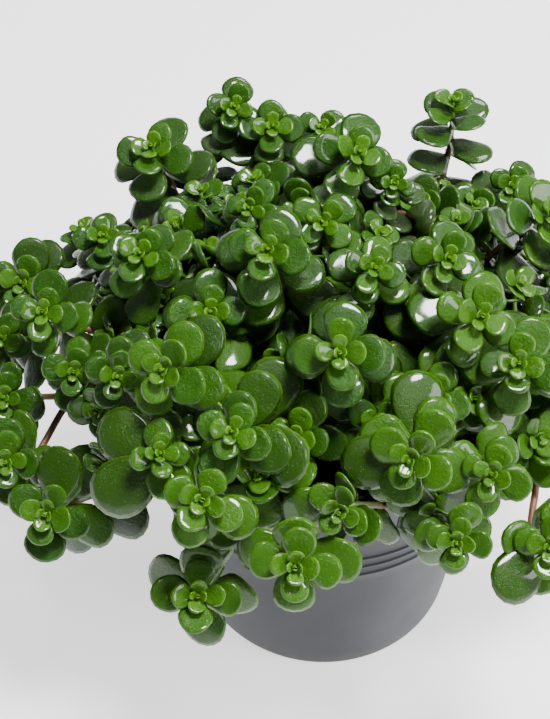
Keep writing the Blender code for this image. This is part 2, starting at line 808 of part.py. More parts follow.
def upright(name, radius, sides, low, high, x, y, home):
    """An upright prism with flat ends, such as a cutter."""
    mesh = bpy.data.meshes.new(name)
    shape = bmesh.new()
    bmesh.ops.create_cone(
        shape,
        cap_ends=True,
        segments=sides,
        radius1=radius,
        radius2=radius,
        depth=high - low,
        matrix=Matrix.Translation((x, y, (low + high) / 2)),
    )
    shape.to_mesh(mesh)
    shape.free()
    made = bpy.data.objects.new(name, mesh)
    home.objects.link(made)
    return made


def make_pot(home):
    pot = turned("pot", pot_profile(), POT_SIDES, home)
    drains = collection("drain_cutters")
    for i in range(DRAIN_COUNT):
        angle = 2 * math.pi * i / DRAIN_COUNT
        upright(
            "drain",
            DRAIN_RADIUS,
            DRAIN_SIDES,
            -POT_FLOOR,
            2 * POT_FLOOR,
            DRAIN_CIRCLE * math.cos(angle),
            DRAIN_CIRCLE * math.sin(angle),
            drains,
        )
    boolean(pot, drains, "DIFFERENCE")
    pot.data.materials.append(material("grey_plastic", (0.13, 0.135, 0.145), 0.45))
    return pot


def make_soil(routes, home):
    """The soil that fills the pot, lumpy on top, with a plain hole for each rooted stem."""
    low = POT_FLOOR + GAP
    fit = POT_WALL + GAP
    profile = [
        (0, SOIL_TOP + SOIL_MOUND),
        (18 * MM, SOIL_TOP + 0.8 * SOIL_MOUND),
        (38 * MM, SOIL_TOP + 0.3 * SOIL_MOUND),
        (wall_radius(SOIL_TOP) - fit, SOIL_TOP),
        (wall_radius(low) - fit, low),
        (0, low),
    ]
    soil = turned("soil", profile, SOIL_SIDES, home)
    for vertex in soil.data.vertices:
        if vertex.co.z > SOIL_TOP + 0.1 * MM:
            bump = math.sin(vertex.co.x * 400) * math.cos(vertex.co.y * 330)
            vertex.co.z += SOIL_LUMP * bump
    holes = collection("stem_holes")
    for route in routes:
        upright(
            "hole",
            HOLE_RADIUS,
            HOLE_SIDES,
            route[0].z - GAP,
            SOIL_TOP + 4 * SOIL_MOUND,
            route[0].x,
            route[0].y,
            holes,
        )
    boolean(soil, holes, "DIFFERENCE")
    soil.data.materials.append(material("dark_soil", (0.03, 0.022, 0.016), 0.95))
    return soil


def make_leafy_stem(name, members, routes, grown, home):
    """A rooted stem with its leaves, and its side shoots joined to it as one solid."""
    cages = [shoot_cage(s, routes[s.number], grown[s.number]) for s in members]
    stem = mesh_object(name, *cages[0], home)
    if len(cages) > 1:
        pieces = collection(name + "_pieces")
        for cage in cages[1:]:
            mesh_object("side_shoot", *cage, pieces)
        boolean(stem, pieces, "UNION", "MANIFOLD")
    return stem


def main():
    clear_scene()
    home = collection("potted_sedum")
    shoots = tips()
    routes, stem_of = grow_stems(shoots)
    grown = grow_leaves(shoots, routes)
    make_pot(home)
    rooted = sorted(set(stem_of.values()))
    make_soil([routes[number] for number in rooted], home)
    green = material("sedum_leaf", (0.06, 0.19, 0.03), 0.3)
    for count, number in enumerate(rooted, 1):
        members = [s for s in shoots if stem_of.get(s.number) == number]
        members.sort(key=lambda s: s.number != number)
        made = make_leafy_stem(f"leafy_stem_{count:02d}", members, routes, grown, home)
        made.data.materials.clear()
        made.data.materials.append(green)


main()
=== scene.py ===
"""Looks of a potted sedum: fleshy round leaves in crossed pairs, over a tapered plastic pot.

Lengths are in metres and +Z is up. The origin is the middle of the pot's flat foot.
"""

import functools
import itertools
import math
import random
from collections import namedtuple

import bmesh
import bpy
import numpy as np
from mathutils import Matrix, Quaternion, Vector, noise
from mathutils.bvhtree import BVHTree


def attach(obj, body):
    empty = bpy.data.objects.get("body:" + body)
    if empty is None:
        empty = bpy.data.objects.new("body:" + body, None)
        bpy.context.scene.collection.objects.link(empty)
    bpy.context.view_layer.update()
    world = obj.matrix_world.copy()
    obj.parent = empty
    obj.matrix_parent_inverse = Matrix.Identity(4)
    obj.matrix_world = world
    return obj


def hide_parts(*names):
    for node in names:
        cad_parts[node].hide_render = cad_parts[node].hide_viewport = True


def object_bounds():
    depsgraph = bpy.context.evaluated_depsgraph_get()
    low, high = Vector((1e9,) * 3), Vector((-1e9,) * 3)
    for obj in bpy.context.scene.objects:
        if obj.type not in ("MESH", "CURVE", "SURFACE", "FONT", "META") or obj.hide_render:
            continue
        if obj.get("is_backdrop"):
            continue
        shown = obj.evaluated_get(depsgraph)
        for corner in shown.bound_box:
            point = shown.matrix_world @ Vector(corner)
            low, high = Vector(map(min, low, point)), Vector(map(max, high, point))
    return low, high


bl_info = {
    "name": "Potted sedum",
    "version": (1, 0, 0),
    "blender": (4, 5, 0),
    "location": "3D View > Sidebar > Sedum",
    "description": "Makes a potted sedum with fine leaves, stems, soil and pot",
    "category": "Add Mesh",
}

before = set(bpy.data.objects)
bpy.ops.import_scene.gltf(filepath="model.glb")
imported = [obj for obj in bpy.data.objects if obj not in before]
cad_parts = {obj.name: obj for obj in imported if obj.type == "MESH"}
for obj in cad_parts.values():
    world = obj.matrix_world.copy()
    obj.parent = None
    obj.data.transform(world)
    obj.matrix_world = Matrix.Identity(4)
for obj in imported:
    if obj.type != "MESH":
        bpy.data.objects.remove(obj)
SOLIDS_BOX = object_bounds()

MM = 0.001
UP = Vector((0, 0, 1))

# Pot and soil, as the solids have them
POT_HEIGHT = 128 * MM
POT_FOOT_RADIUS = 51.5 * MM
POT_TAPER = 0.093
POT_WALL = 1.8 * MM
POT_FLOOR = 2.2 * MM
POT_LIP_HEIGHT = 6 * MM
POT_LIP_STEP = 1.6 * MM
RIB_HEIGHTS = (75.7 * MM, 81.4 * MM, 87.2 * MM)
DRAIN_COUNT = 6
DRAIN_RADIUS = 4 * MM
DRAIN_CIRCLE = 32 * MM
GAP = 0.3 * MM
SOIL_TOP = 116 * MM
SOIL_MOUND = 3 * MM
SOIL_LUMP = 0.7 * MM
STEM_DEPTH = 12 * MM

# The low dome of the shoot tips, centred over the pot
DOME_HEIGHT = 123 * MM
DOME_RADIUS = 106 * MM
DOME_RISE = 57 * MM

# Where the photograph was taken from: the shoots that it shows are placed by its columns and rows
PHOTO_MIDDLE = (275, 359.5)
PHOTO_FOCAL = 1300
PHOTO_HEIGHT = 719
VIEW_DOWN = math.radians(48.7)
VIEW_AHEAD = Vector((0, math.cos(VIEW_DOWN), -math.sin(VIEW_DOWN)))
VIEW_UP = Vector((0, math.sin(VIEW_DOWN), math.cos(VIEW_DOWN)))
VIEW_DISTANCE = 614 * MM
VIEW_TARGET = Vector((-19 * MM, 107.5 * MM, 0))

# Stems: their radius between leaf pairs and at one, the circle that their roots stay in, how the tips' plan
# is drawn in to it, the space between roots, and how far a stem rises straight out of the soil
STEM_RADIUS = 1.2 * MM
NODE_RADIUS = 1.5 * MM
ROOT_CIRCLE = 44 * MM
ROOT_SHARE = ROOT_CIRCLE / (DOME_RADIUS * 1.1)
ROOT_SPACING = 7 * MM
ROOT_RISE = 3 * MM
SEED = 7

# Leafy part of a shoot: its nodes' depths, how far it goes on below the last, how much of it is above its
# turn and below, how far down its direction is told from the photograph, how squarely it must at least face
# the camera, where its lower half comes from, how sharply it may turn, and how far it may dip past the pot
NODE_DEPTHS = tuple(mm * MM for mm in (2.8, 8.2, 17.0, 28.6))
LEAFY_FOOT = 3 * MM
UPPER_SHARE, LOWER_SHARE = 0.45, 0.55
LOWER_DEPTH = 20 * MM
LEAST_FACING = 0.05
STEM_HUB = Vector((0, 0, 104 * MM))
SHARPEST_TURN = math.radians(40)
DIPS = range(0, 64, 4)

# Leafless part: every second shoot forks from another stem and leans this much away from it. The part is
# a curve of a few segments, pulled along its start and end, that bends no more sharply than this.
FORK_EVERY = 2
FORK_AWAY = 0.8
LEAFLESS_SEGMENTS = 4
START_PULL, END_PULL = 0.45, 0.35
SHARPEST_BENDS = (math.radians(68), math.radians(88), math.radians(105))

# Ways that a stem may take: it is lifted and swayed by these mm, a side shoot leaves one of the nearest
# trunks at one of these shares of its leafless length, and the roots are spread in this many rounds
LIFTS = (0, 4, 8, 12, 16, 20, 26, 32)
SWAYS = (0, 4, -4, 8, -8, 12, -12, 16, -16, 22, -22, 28, -28)
NEAREST_TRUNKS = 6
FORK_SHARES = (0.3, 0.45, 0.6, 0.15)
ROOT_ROUNDS = 60

# A shoot that the photograph shows: its tip's column and row there, how far in mm it stands out of the
# dome, the size of its leaves, how far apart its nodes are, the turn of its leaf cross in degrees, its
# count of nodes, and how many columns and rows its stem lies aside and below the tip 20 mm further down.
Seen = namedtuple("Seen", "column row out size stretch turn nodes aside below")
SEEN_SHOOTS = (
    Seen(152, 148, 2, 1.15, 1.05, 10, 4, 15, 28),
    Seen(234, 107, 2, 0.90, 1.30, 20, 3, -3, 15),
    Seen(272, 127, 0, 1.05, 1.00, 0, 3, -5, 22),
    Seen(322, 128, -4, 0.75, 1.00, 30, 3, 0, 20),
    Seen(358, 153, 4, 1.15, 1.00, 20, 4, -18, 22),
    Seen(394, 183, -6, 0.65, 1.00, 10, 3, -3, 12),
    Seen(453, 103, 14, 1.08, 1.50, 45, 4, -3, 44),
    Seen(512, 186, -4, 0.80, 1.00, 30, 3, -5, 14),
    Seen(548, 214, 3, 1.20, 1.00, 0, 4, -36, 24),
    Seen(249, 208, -4, 0.75, 1.00, 20, 3, 15, 12),
    Seen(268, 250, 4, 1.05, 1.00, 15, 4, 6, 18),
    Seen(140, 254, 2, 0.95, 1.00, 30, 4, 15, 20),
    Seen(103, 236, -3, 0.80, 1.00, 0, 3, 3, 22),
    Seen(21, 282, 0, 1.00, 1.00, 20, 4, 10, 4),
    Seen(43, 312, 2, 0.95, 1.00, 10, 3, 12, 12),
    Seen(2, 337, -3, 0.90, 1.00, 30, 3, 8, 6),
    Seen(375, 268, 1, 0.80, 1.00, 25, 3, -12, 14),
    Seen(448, 258, 3, 0.90, 1.00, 20, 3, -20, 12),
    Seen(481, 317, 5, 1.06, 1.10, 25, 4, -22, 12),
    Seen(519, 364, 4, 1.00, 1.00, 10, 4, -5, 12),
    Seen(340, 353, 5, 1.03, 1.00, 0, 4, 0, 5),
    Seen(163, 370, 5, 1.00, 1.00, 30, 4, 25, 3),
    Seen(117, 376, -2, 0.80, 1.00, 15, 3, -3, -6),
    Seen(232, 432, 1, 0.95, 1.00, 20, 3, 8, 8),
    Seen(160, 454, -4, 0.75, 1.00, 0, 3, 0, 12),
    Seen(202, 500, 0, 1.00, 1.00, 25, 4, 3, -3),
    Seen(46, 514, 0, 1.12, 1.20, 20, 4, 22, -9),
    Seen(198, 596, -8, 1.15, 1.00, 5, 3, 4, -6),
    Seen(295, 567, -8, 1.14, 1.00, 5, 3, 2, -14),
    Seen(410, 460, 2, 0.98, 1.00, 30, 4, 12, -12),
    Seen(457, 543, -4, 0.80, 1.00, 10, 3, 3, -14),
    Seen(492, 474, 0, 0.85, 1.00, 20, 3, 5, 0),
    Seen(550, 548, -2, 0.95, 1.00, 15, 3, 0, -6),
    Seen(294, 438, -16, 0.90, 1.00, 15, 4, 16, -5),
    Seen(377, 426, -18, 0.90, 1.00, 40, 4, 0, 0),
    Seen(4, 397, -6, 0.85, 1.00, 10, 3, 14, 0),
    Seen(6, 462, -8, 0.95, 1.00, 0, 3, 12, -4),
    Seen(210, 312, -9, 0.95, 1.00, 0, 4, 0, 10),
    Seen(432, 398, -12, 0.85, 1.00, 20, 3, 0, 4),
    Seen(322, 222, -10, 0.85, 1.00, 40, 3, 0, 14),
    Seen(74, 372, -8, 0.80, 1.00, 10, 3, 8, 4),
)

# The sides that the photograph hides or cuts off have rows of shoots by rule: each row's slope up the
# dome in degrees, how far in mm it stands out of it, its count, its first and last bearing, and the
# nodes of its shoots. The shoots stray by some degrees of bearing and slope, and lean out of the dome.
HIDDEN_STRETCH = 1.25
HIDDEN_SIZES = (0.85, 1.1)
HIDDEN_LEAN = 0.8
BEARING_STRAY, SLOPE_STRAY = 5, 4
HiddenRow = namedtuple("HiddenRow", "slope out count first last nodes")
HIDDEN_ROWS = (
    HiddenRow(38, 0, 2, -14, 10, 4),
    HiddenRow(26, -16, 3, 62, 125, 3),
    HiddenRow(14, 0, 6, -20, 150, 4),
    HiddenRow(-5, 0, 6, -2, 166, 3),
)

Shoot = namedtuple("Shoot", "number tip axis low_axis size stretch turn nodes rooted")
Place = namedtuple("Place", "arm length lean depth age")
Leaf = namedtuple("Leaf", "node along normal length age seed tone")

# Leaf pairs from the youngest in the bud to the oldest of the rosette: length in mm, lean away from the
# stem in degrees, and depth below the tip in mm. A shoot's count of nodes says how many it has.
Pair = namedtuple("Pair", "length lean depth")
PAIRS = (
    Pair(2.0, 26, -0.4),
    Pair(3.5, 50, 0.0),
    Pair(5.6, 63, 0.8),
    Pair(8.2, 70, 1.9),
    Pair(10.8, 73, 3.5),
    Pair(13.4, 79, 5.8),
    Pair(15.8, 84, 9.0),
    Pair(17.8, 88, 13.2),
    Pair(19.4, 92, 18.6),
    Pair(20.4, 95, 25.4),
    Pair(21.0, 98, 33.4),
)
PAIRS_BY_NODES = {3: 9, 4: 11}

# Pairs of the first ranks lie close together in the bud, so they aren't tested against the four pairs
# before them on their shoot. Each later pair isn't tested against the one before it.
BUD_RANKS, BUD_SKIPS = 5, 4

# How much the length of a leaf varies, how far it rolls against how far it strays otherwise, and the bends
# to try for it: scale, tilt and yaw in degrees, and what a degree of yaw and a smaller scale cost against a
# degree of tilt
GROWN_SIZES = (0.9, 1.08)
OLD_SIZES = (0.75, 1.1)
ROLL_SHARE = 1.2
BEND_SCALES = (1.0, 0.88, 0.76)
BEND_TILTS = (0, 8, -8, 16, -16, 25, -25, 36)
BEND_YAWS = (0, 9, -9, 18, -18, 30, -30, 45, -45)
YAW_COST, SHRINK_COST = 0.8, 150

# Side shoots on a spiral under the dome: how many are tried, how far in mm below the dome their tips may
# lie, how far down its side the spiral runs (1 is its foot), their sizes and leaf pairs, and how they turn
# to the light. None has its tip low at the front, where the photograph shows every shoot.
INNER_COUNT = 80
INNER_DEPTHS = (17, 22, 28, 34)
INNER_SPREAD = 1.12
INNER_FRONT = -52 * MM
INNER_LOW = 136 * MM
INNER_SIZES = (0.8, 1.05)
INNER_PAIRS = 8
LIGHT_SIDE = Vector((0, -0.5, 0.2))
GOLDEN_ANGLE = math.radians(137.5)
FIRST_INNER_NUMBER = 1000

# Where an inner shoot may leave its stem, how far that may be from its tip, how many places are tried, how
# its curve is pulled at its start and end, how far it stays clear of the pot, and how sharply it may bend
# from one of its points to the next
JOINT_BELOW_TIP, JOINT_ABOVE_ROOT, JOINT_STEP = 24 * MM, 8 * MM, 5 * MM
INNER_LENGTHS = (16 * MM, 45 * MM)
JOINT_HEIGHT = SOIL_TOP + 6 * MM
JOINT_TRIES = 12
INNER_STEPS = 14
INNER_START_PULL, INNER_END_PULL = 0.35, 0.45
INNER_CLEARANCE = 2 * MM
INNER_SHARPEST = math.radians(30)

# How far above a root the rosettes and the scattered old pairs below them end, and those pairs' habit
ROSETTE_ABOVE_ROOT, OLD_ABOVE_ROOT = 3 * MM, 4 * MM
OLD_SPACING = 7.5 * MM
OLD_LENGTH = 20 * MM
OLD_LEAN = 96
OLD_HEIGHT = SOIL_TOP + 9 * MM

# Large old leaves that the photograph shows on their own: column and row there of the spot that the leaf
# grows towards, how far in mm that lies out of the dome, and the leaf's length in mm. Each grows from a
# place on a stem within reach, and becomes smaller or rolls until it finds room.
SINGLE_LEAVES = (
    (285, 463, -9, 27),
    (353, 467, -11, 23),
    (279, 380, -9, 24),
    (419, 403, -8, 26),
    (57, 458, -6, 24),
    (117, 493, -6, 26),
    (110, 430, -6, 24),
    (523, 573, -4, 23),
)
SINGLE_BELOW_TIP, SINGLE_ABOVE_ROOT, SINGLE_STEP = 10 * MM, 4 * MM, 2 * MM
SINGLE_REACH = 20 * MM
SINGLE_PLACES = 40
SINGLE_SCALES = (1.0, 0.9, 0.8)
SINGLE_ROLLS = (0, 20, -20, 40, -40)
SINGLE_SEED, SINGLE_TONE = 0.5, 0.3

# The share of a shoot's stretch that its leaves follow, and how strongly old leaves turn to the light
LEAF_STRETCH = 0.3
LIGHT_PULL = 0.7
LIGHT = Vector((0.1, -0.7, 0.7))

# Tone of a shoot's leaves, higher for duller, greyer ones: at the middle, how it rises to the back and to
# the left over some distance as painted shade, and how it varies at random
TONE_MIDDLE, SHADE_TO_BACK, SHADE_TO_LEFT, TONE_SPREAD = 0.43, 1.7, 0.6, 0.22
TONE_DISTANCE = 4 * DOME_RADIUS

# How much wider than a leaf its guard is, and how far a leaf stays clear of the pot
LEAF_CLEARANCE = 0.15 * MM
POT_CLEARANCE = 0.5 * MM

# Stems of the visual model: thinner towards the tip, swollen at each leaf pair below the bud, and woody
# from a depth below the tip
STEM_SIDES = 8
STEM_STEP = 1.1 * MM
TIP_THINNESS = 0.55
FULL_STEM_DEPTH = 24 * MM
SWELL = 0.22 * MM
SWELL_LENGTH = 0.9 * MM
BUD_DEPTH = 4 * MM
WOODY_DEPTH = 60 * MM

# Pot, soil and crumbs of the visual model. The soil's lumps and its grain each have a density, a
# roughness, the growth and count of octaves, and a height. Crumbs have a least and a largest size.
POT_SIDES = 128
DRAIN_SIDES = 24
ROUNDING = 0.9 * MM
FOOT_ROUNDING = 1.2 * MM
LIP_SLOPE = 0.7 * MM
RIB_STEPS = 8
POT_CREASE, SOIL_CREASE = math.radians(35), math.radians(50)
SOIL_SIDES, SOIL_RINGS = 120, 36
SOIL_NOISES = ((90, 0.7, 2.1, 4, 1.1 * MM), (420, 0.8, 2.2, 3, 0.5 * MM))
CRUMB_SIZES = ((0.5, 0.4, 0.4), (1.6, 1.1, 1.0))
CRUMB_CLEARANCE = 3 * MM

# The lights: name, place and size. Each shines on the middle of the plant.
LIGHTS = (
    ("key", (0.3, 0.75, 1.1), 0.4),
    ("top", (0.28, -0.08, 1.48), 0.36),
    ("side", (1.1, -0.5, 0.9), 0.8),
)
LIGHT_TARGET = (0, 0, 0.13)
FLOOR_HALF = 3.0
SENSOR_WIDTH = 36

# Outline of a leaf: its middle and its half sizes in leaf lengths, the angle over which it narrows to the
# stem, and where its rounded rim starts, with the share of its thickness by which its face drops there
BLADE_CENTRE = 0.6
BLADE_HALF_WIDTH = 0.4
BLADE_HALF_LENGTH = 0.4
BLADE_NARROWING = 0.42
BLADE_RIM = 0.84
BLADE_DROP = 0.12

# Half the rim of a leaf's guard and half its thickness in leaf lengths, and how much wider than a stem its
# guard is
GUARD_RIM = ((0.0, 0.12), (0.21, 0.32), (0.37, 0.6), (0.28, 0.87), (0.0, 0.98))
GUARD_HALF = 0.03
GUARD_WIDER = 1.3

# Cup, curl and width of a leaf: in the bud, how much is lost with age, and how it varies
CUP_YOUNG, CUP_LOSS, CUP_SPREAD = 0.75, 1.05, 0.3
CURL_YOUNG, CURL_LOSS = 0.24, 0.4
WIDTH_YOUNG, WIDTH_LOSS, WIDTH_SPREAD = 1.06, 0.12, 0.1

# Waves along a leaf's edge and how they are shifted from leaf to leaf. A leaf's thickness is this share of
# the full one at no length, and grows with length.
WAVE_RATE, WAVE_SHIFT = 7.0, 40.0
THIN_SHARE = 0.4
FULL_LEAF_LENGTH = 22 * MM


def wall_radius(height):
    """Radius of the pot's outer wall at a height."""
    return POT_FOOT_RADIUS + POT_TAPER * height


def around(reach, bearing, height):
    """x, y and z of a place around the pot's axis."""
    return reach * math.cos(bearing), reach * math.sin(bearing), height


def photo_ray(column, row):
    """Start and direction of the sight line through a column and row of the photograph."""
    across = (column - PHOTO_MIDDLE[0]) / PHOTO_FOCAL
    above = (PHOTO_MIDDLE[1] - row) / PHOTO_FOCAL
    start = VIEW_TARGET - VIEW_AHEAD * VIEW_DISTANCE
    return start, (VIEW_AHEAD + Vector((1, 0, 0)) * across + VIEW_UP * above)


def dome_point(column, row, out):
    """Where the sight line meets the dome, or passes nearest to it."""
    start, along = photo_ray(column, row)
    wide = DOME_RADIUS + out
    high = DOME_RISE + out
    shrink = Vector((1 / wide, 1 / wide, 1 / high))
    middle = Vector((0, 0, DOME_HEIGHT))
    near = (start - middle) * shrink
    step = along * shrink
    a = step.dot(step)
    b = near.dot(step)
    c = near.dot(near) - 1
    root = math.sqrt(max(0.0, b * b - a * c))
    return start + along * ((-b - root) / a)


def dome_normal(point):
    """Outward direction of the dome at a point."""
    local = point - Vector((0, 0, DOME_HEIGHT))
    return Vector(
        (local.x / DOME_RADIUS**2, local.y / DOME_RADIUS**2, local.z / DOME_RISE**2)
    ).normalized()


def photo_axis(point, aside, below):
    """Direction of a shoot whose stem lies aside and below its tip in the photograph."""
    start, _ = photo_ray(*PHOTO_MIDDLE)
    sight = point - start
    share = sight.length / PHOTO_FOCAL / LOWER_DEPTH
    sight.normalize()
    right = (Vector((1, 0, 0)) - sight * sight.x).normalized()
    across, lift = -aside * share, below * share
    near = math.sqrt(max(LEAST_FACING, 1 - across**2 - lift**2))
    return (right * across + right.cross(sight) * lift - sight * near).normalized()


def tips():
    """Every shoot tip with the habit of its shoot."""
    draw = random.Random(SEED)
    found = []
    for seen in SEEN_SHOOTS:
        point = dome_point(seen.column, seen.row, seen.out * MM)
        axis = photo_axis(point, seen.aside, seen.below)
        found.append((point, axis, seen.size, seen.stretch, seen.turn, seen.nodes))
    for row in HIDDEN_ROWS:
        wide, high = DOME_RADIUS + row.out * MM, DOME_RISE + row.out * MM
        for i in range(row.count):
            share = i / (row.count - 1)
            bearing = row.first + (row.last - row.first) * share
            bearing = math.radians(bearing + draw.uniform(-BEARING_STRAY, BEARING_STRAY))
            slope = math.radians(row.slope + draw.uniform(-SLOPE_STRAY, SLOPE_STRAY))
            reach = wide * math.cos(slope)
            height = DOME_HEIGHT + high * math.sin(slope)
            point = Vector(around(reach, bearing, height))
            axis = (dome_normal(point) * HIDDEN_LEAN + UP).normalized()
            size, turn = draw.uniform(*HIDDEN_SIZES), draw.uniform(0, 90)
            found.append((point, axis, size, HIDDEN_STRETCH, turn, row.nodes))
    shoots = []
    for number, (point, axis, *habit) in enumerate(found):
        rooted = number % FORK_EVERY != FORK_EVERY - 1
        shoot = Shoot(number, point, axis, axis, *habit, rooted)
        shoots.append(shoot._replace(low_axis=lower_axis(shoot)))
    return shoots


def lower_axis(shoot):
    """Direction of a leafy part's lower half: out from the plant's middle and over the pot's rim."""
    _, turn, _ = leafy_points(shoot)
    out = (turn - STEM_HUB).normalized()
    sharp = shoot.axis.angle(out)
    if sharp > SHARPEST_TURN:
        out = shoot.axis.slerp(out, SHARPEST_TURN / sharp)
    level = Vector((-turn.y, turn.x, 0)).normalized()
    for dip in DIPS:
        axis = Quaternion(level, math.radians(dip)) @ out
        foot, turn, _ = leafy_points(shoot._replace(low_axis=axis))
        if not stem_in_pot(foot, turn, 8):
            return axis
    return out


def root_places(shoots):
    """Where the rooted stems leave the soil: the tips' plan drawn in, then spread apart."""
    places = {}
    for shoot in shoots:
        if not shoot.rooted:
            continue
        plan = Vector((shoot.tip.x, shoot.tip.y, 0))
        places[shoot.number] = plan * ROOT_SHARE
    for _ in range(ROOT_ROUNDS):
        for a in places:
            for b in places:
                if a >= b:
                    continue
                apart = places[a] - places[b]
                short = ROOT_SPACING - apart.length
                if short > 0:
                    push = apart.normalized() * (short / 2)
                    places[a] += push
                    places[b] -= push
        for place in places.values():
            if place.length > ROOT_CIRCLE:
                place *= ROOT_CIRCLE / place.length
    return places


def bezier(a, b, c, d, steps):
    """Points along a cubic curve, both ends included."""
    points = []
    for i in range(steps + 1):
        t = i / steps
        s = 1 - t
        points.append(a * s**3 + b * (3 * s * s * t) + c * (3 * s * t * t) + d * t**3)
    return points


def near_pot(point, clearance):
    """True where a point lies in the pot's wall or lip or in the soil, or within clearance of them."""
    reach = math.hypot(point.x, point.y)
    if point.z > POT_HEIGHT + clearance:
        return False
    inside = wall_radius(point.z) - POT_WALL - clearance
    if reach < inside:
        return point.z < SOIL_TOP + SOIL_MOUND * (1 - reach / inside) + SOIL_LUMP + clearance
    return reach < wall_radius(point.z) + POT_LIP_STEP + clearance


def stem_in_pot(p, q, steps):
    """True where a stem from p to q comes too near to the pot or the soil."""
    return any(near_pot(p.lerp(q, t / steps), NODE_RADIUS + GAP) for t in range(steps + 1))


def segment_gap(p, q, r, s, steps=4):
    """Shortest distance between segments pq and rs, closely enough for thin stems."""
    least = math.inf
    for i in range(steps + 1):
        point = p.lerp(q, i / steps)
        edge = s - r
        share = max(0.0, min(1.0, (point - r).dot(edge) / max(edge.length_squared, 1e-12)))
        least = min(least, (point - (r + edge * share)).length)
    return least


def routes_apart(route, others):
    """True where a route keeps clear of every other route."""
    for other in others:
        for p, q in zip(route, route[1:]):
            for r, s in zip(other, other[1:]):
                if (p - r).length > (p - q).length + (r - s).length + 4 * STEM_RADIUS:
                    continue
                if segment_gap(p, q, r, s) < 2 * NODE_RADIUS + GAP:
                    return False
    return True


def node_depth(shoot, node):
    """How far below the tip of a shoot a node is."""
    return NODE_DEPTHS[node] * shoot.size * shoot.stretch


def leafy_points(shoot):
    """The foot of a shoot's leafy part, where that part turns up, and the tip."""
    leafy = node_depth(shoot, shoot.nodes - 1) + LEAFY_FOOT
    turn = shoot.tip - shoot.axis * (leafy * UPPER_SHARE)
    return [turn - shoot.low_axis * (leafy * LOWER_SHARE), turn, shoot.tip]


def bends(route):
    """The angles by which a route turns at its points."""
    steps = [q - p for p, q in zip(route, route[1:])]
    return [a.angle(b) for a, b in zip(steps, steps[1:])]


def bent_clear(shoot, start, rise, lead, taken):
    """A route from start to the tip, bent sideways and lifted until it clears the pot and other stems."""
    leafy = leafy_points(shoot)
    foot = leafy[0]
    side = Vector((-shoot.tip.y, shoot.tip.x, 0)).normalized()
    span = (foot - start).length
    for sharpest, lift, sway in itertools.product(SHARPEST_BENDS, LIFTS, SWAYS):
        move = side * (sway * MM) + UP * (lift * MM)
        run = bezier(
            start,
            start + rise * (span * START_PULL) + move,
            foot - shoot.low_axis * (span * END_PULL) + move,
            foot,
            LEAFLESS_SEGMENTS,
        )
        route = lead + run + leafy[1:]
        if max(bends(route)) > sharpest:
            continue
        free = route[len(lead) :]
        if any(stem_in_pot(p, q, 12) for p, q in zip(free, free[1:])):
            continue
        if routes_apart(free, taken):
            return route
    return None


def along_route(route, distance):
    """The point and direction at a distance back from the end of a route."""
    for p, q in zip(reversed(route[:-1]), reversed(route[1:])):
        length = (q - p).length
        if distance <= length:
            return q.lerp(p, distance / length), (q - p).normalized()
        distance -= length
    return route[0], (route[1] - route[0]).normalized()


def cross_directions(shoot, route, distance):
    """The two directions of a shoot's leaf cross, carried down its stem without twist."""
    axis = (route[-1] - route[-2]).normalized()
    side = (VIEW_UP - axis * VIEW_UP.dot(axis)).normalized()
    side = Quaternion(axis, math.radians(-shoot.turn)) @ side
    for p, q in zip(reversed(route[:-1]), reversed(route[1:])):
        ahead = (q - p).normalized()
        side = axis.rotation_difference(ahead) @ side
        axis = ahead
        distance -= (q - p).length
        if distance <= 0:
            break
    return side, axis.cross(side)


def grow_stems(shoots):
    """Routes of the stems by shoot number, and the number of the rooted stem that each is part of."""
    routes = {}
    stem_of = {}
    places = root_places(shoots)
    for shoot in sorted(shoots, key=lambda s: not s.rooted):
        taken = list(routes.values())
        route = None
        if shoot.rooted:
            place = places[shoot.number]
            low = Vector((place.x, place.y, SOIL_TOP - STEM_DEPTH))
            high = Vector((place.x, place.y, SOIL_TOP + SOIL_MOUND + ROOT_RISE))
            route = bent_clear(shoot, high, UP, [low], taken)
            if route:
                stem_of[shoot.number] = shoot.number
        if not route:
            rooted = [s for s in shoots if s.number in routes and stem_of[s.number] == s.number]
            rooted.sort(key=lambda s: (s.tip - shoot.tip).length)
            for parent in rooted[:NEAREST_TRUNKS]:
                trunk = routes[parent.number]
                others = [r for n, r in routes.items() if n != parent.number]
                leafless = sum((q - p).length for p, q in zip(trunk[1:-2], trunk[2:-1]))
                for share in FORK_SHARES:
                    leafy = (trunk[-1] - trunk[-2]).length + (trunk[-2] - trunk[-3]).length
                    start, ahead = along_route(trunk, leafy + share * leafless)
                    away = (shoot.tip - start).normalized()
                    rise = (ahead + away * FORK_AWAY).normalized()
                    route = bent_clear(shoot, start, rise, [], others)
                    if route:
                        stem_of[shoot.number] = parent.number
                        break
                if route:
                    break
        if route:
            routes[shoot.number] = route
        else:
            print("no room for shoot", shoot.number)
    return routes, stem_of


def smooth_route(route, steps=7):
    """A route rounded through its own points."""
    ends = [route[0] * 2 - route[1], *route, route[-1] * 2 - route[-2]]
    points = []
    for a, b, c, d in zip(ends, ends[1:], ends[2:], ends[3:]):
        for i in range(steps):
            t = i / steps
            square = (2 * a - 5 * b + 4 * c - d) * t**2
            cube = (3 * b - a - 3 * c + d) * t**3
            points.append(0.5 * (2 * b + (c - a) * t + square + cube))
    return [*points, route[-1]]


def route_length(route):
    """Length of a route."""
    return sum((q - p).length for p, q in zip(route, route[1:]))


def leaf_spot(shoot, route, depth):
    """Middle and direction of the stem and the first arm of the leaf cross, at a depth below the tip."""
    centre, axis = along_route(route, max(depth, 0))
    side, _ = cross_directions(shoot, route, max(depth, 0))
    return centre - axis * min(depth, 0), axis, side


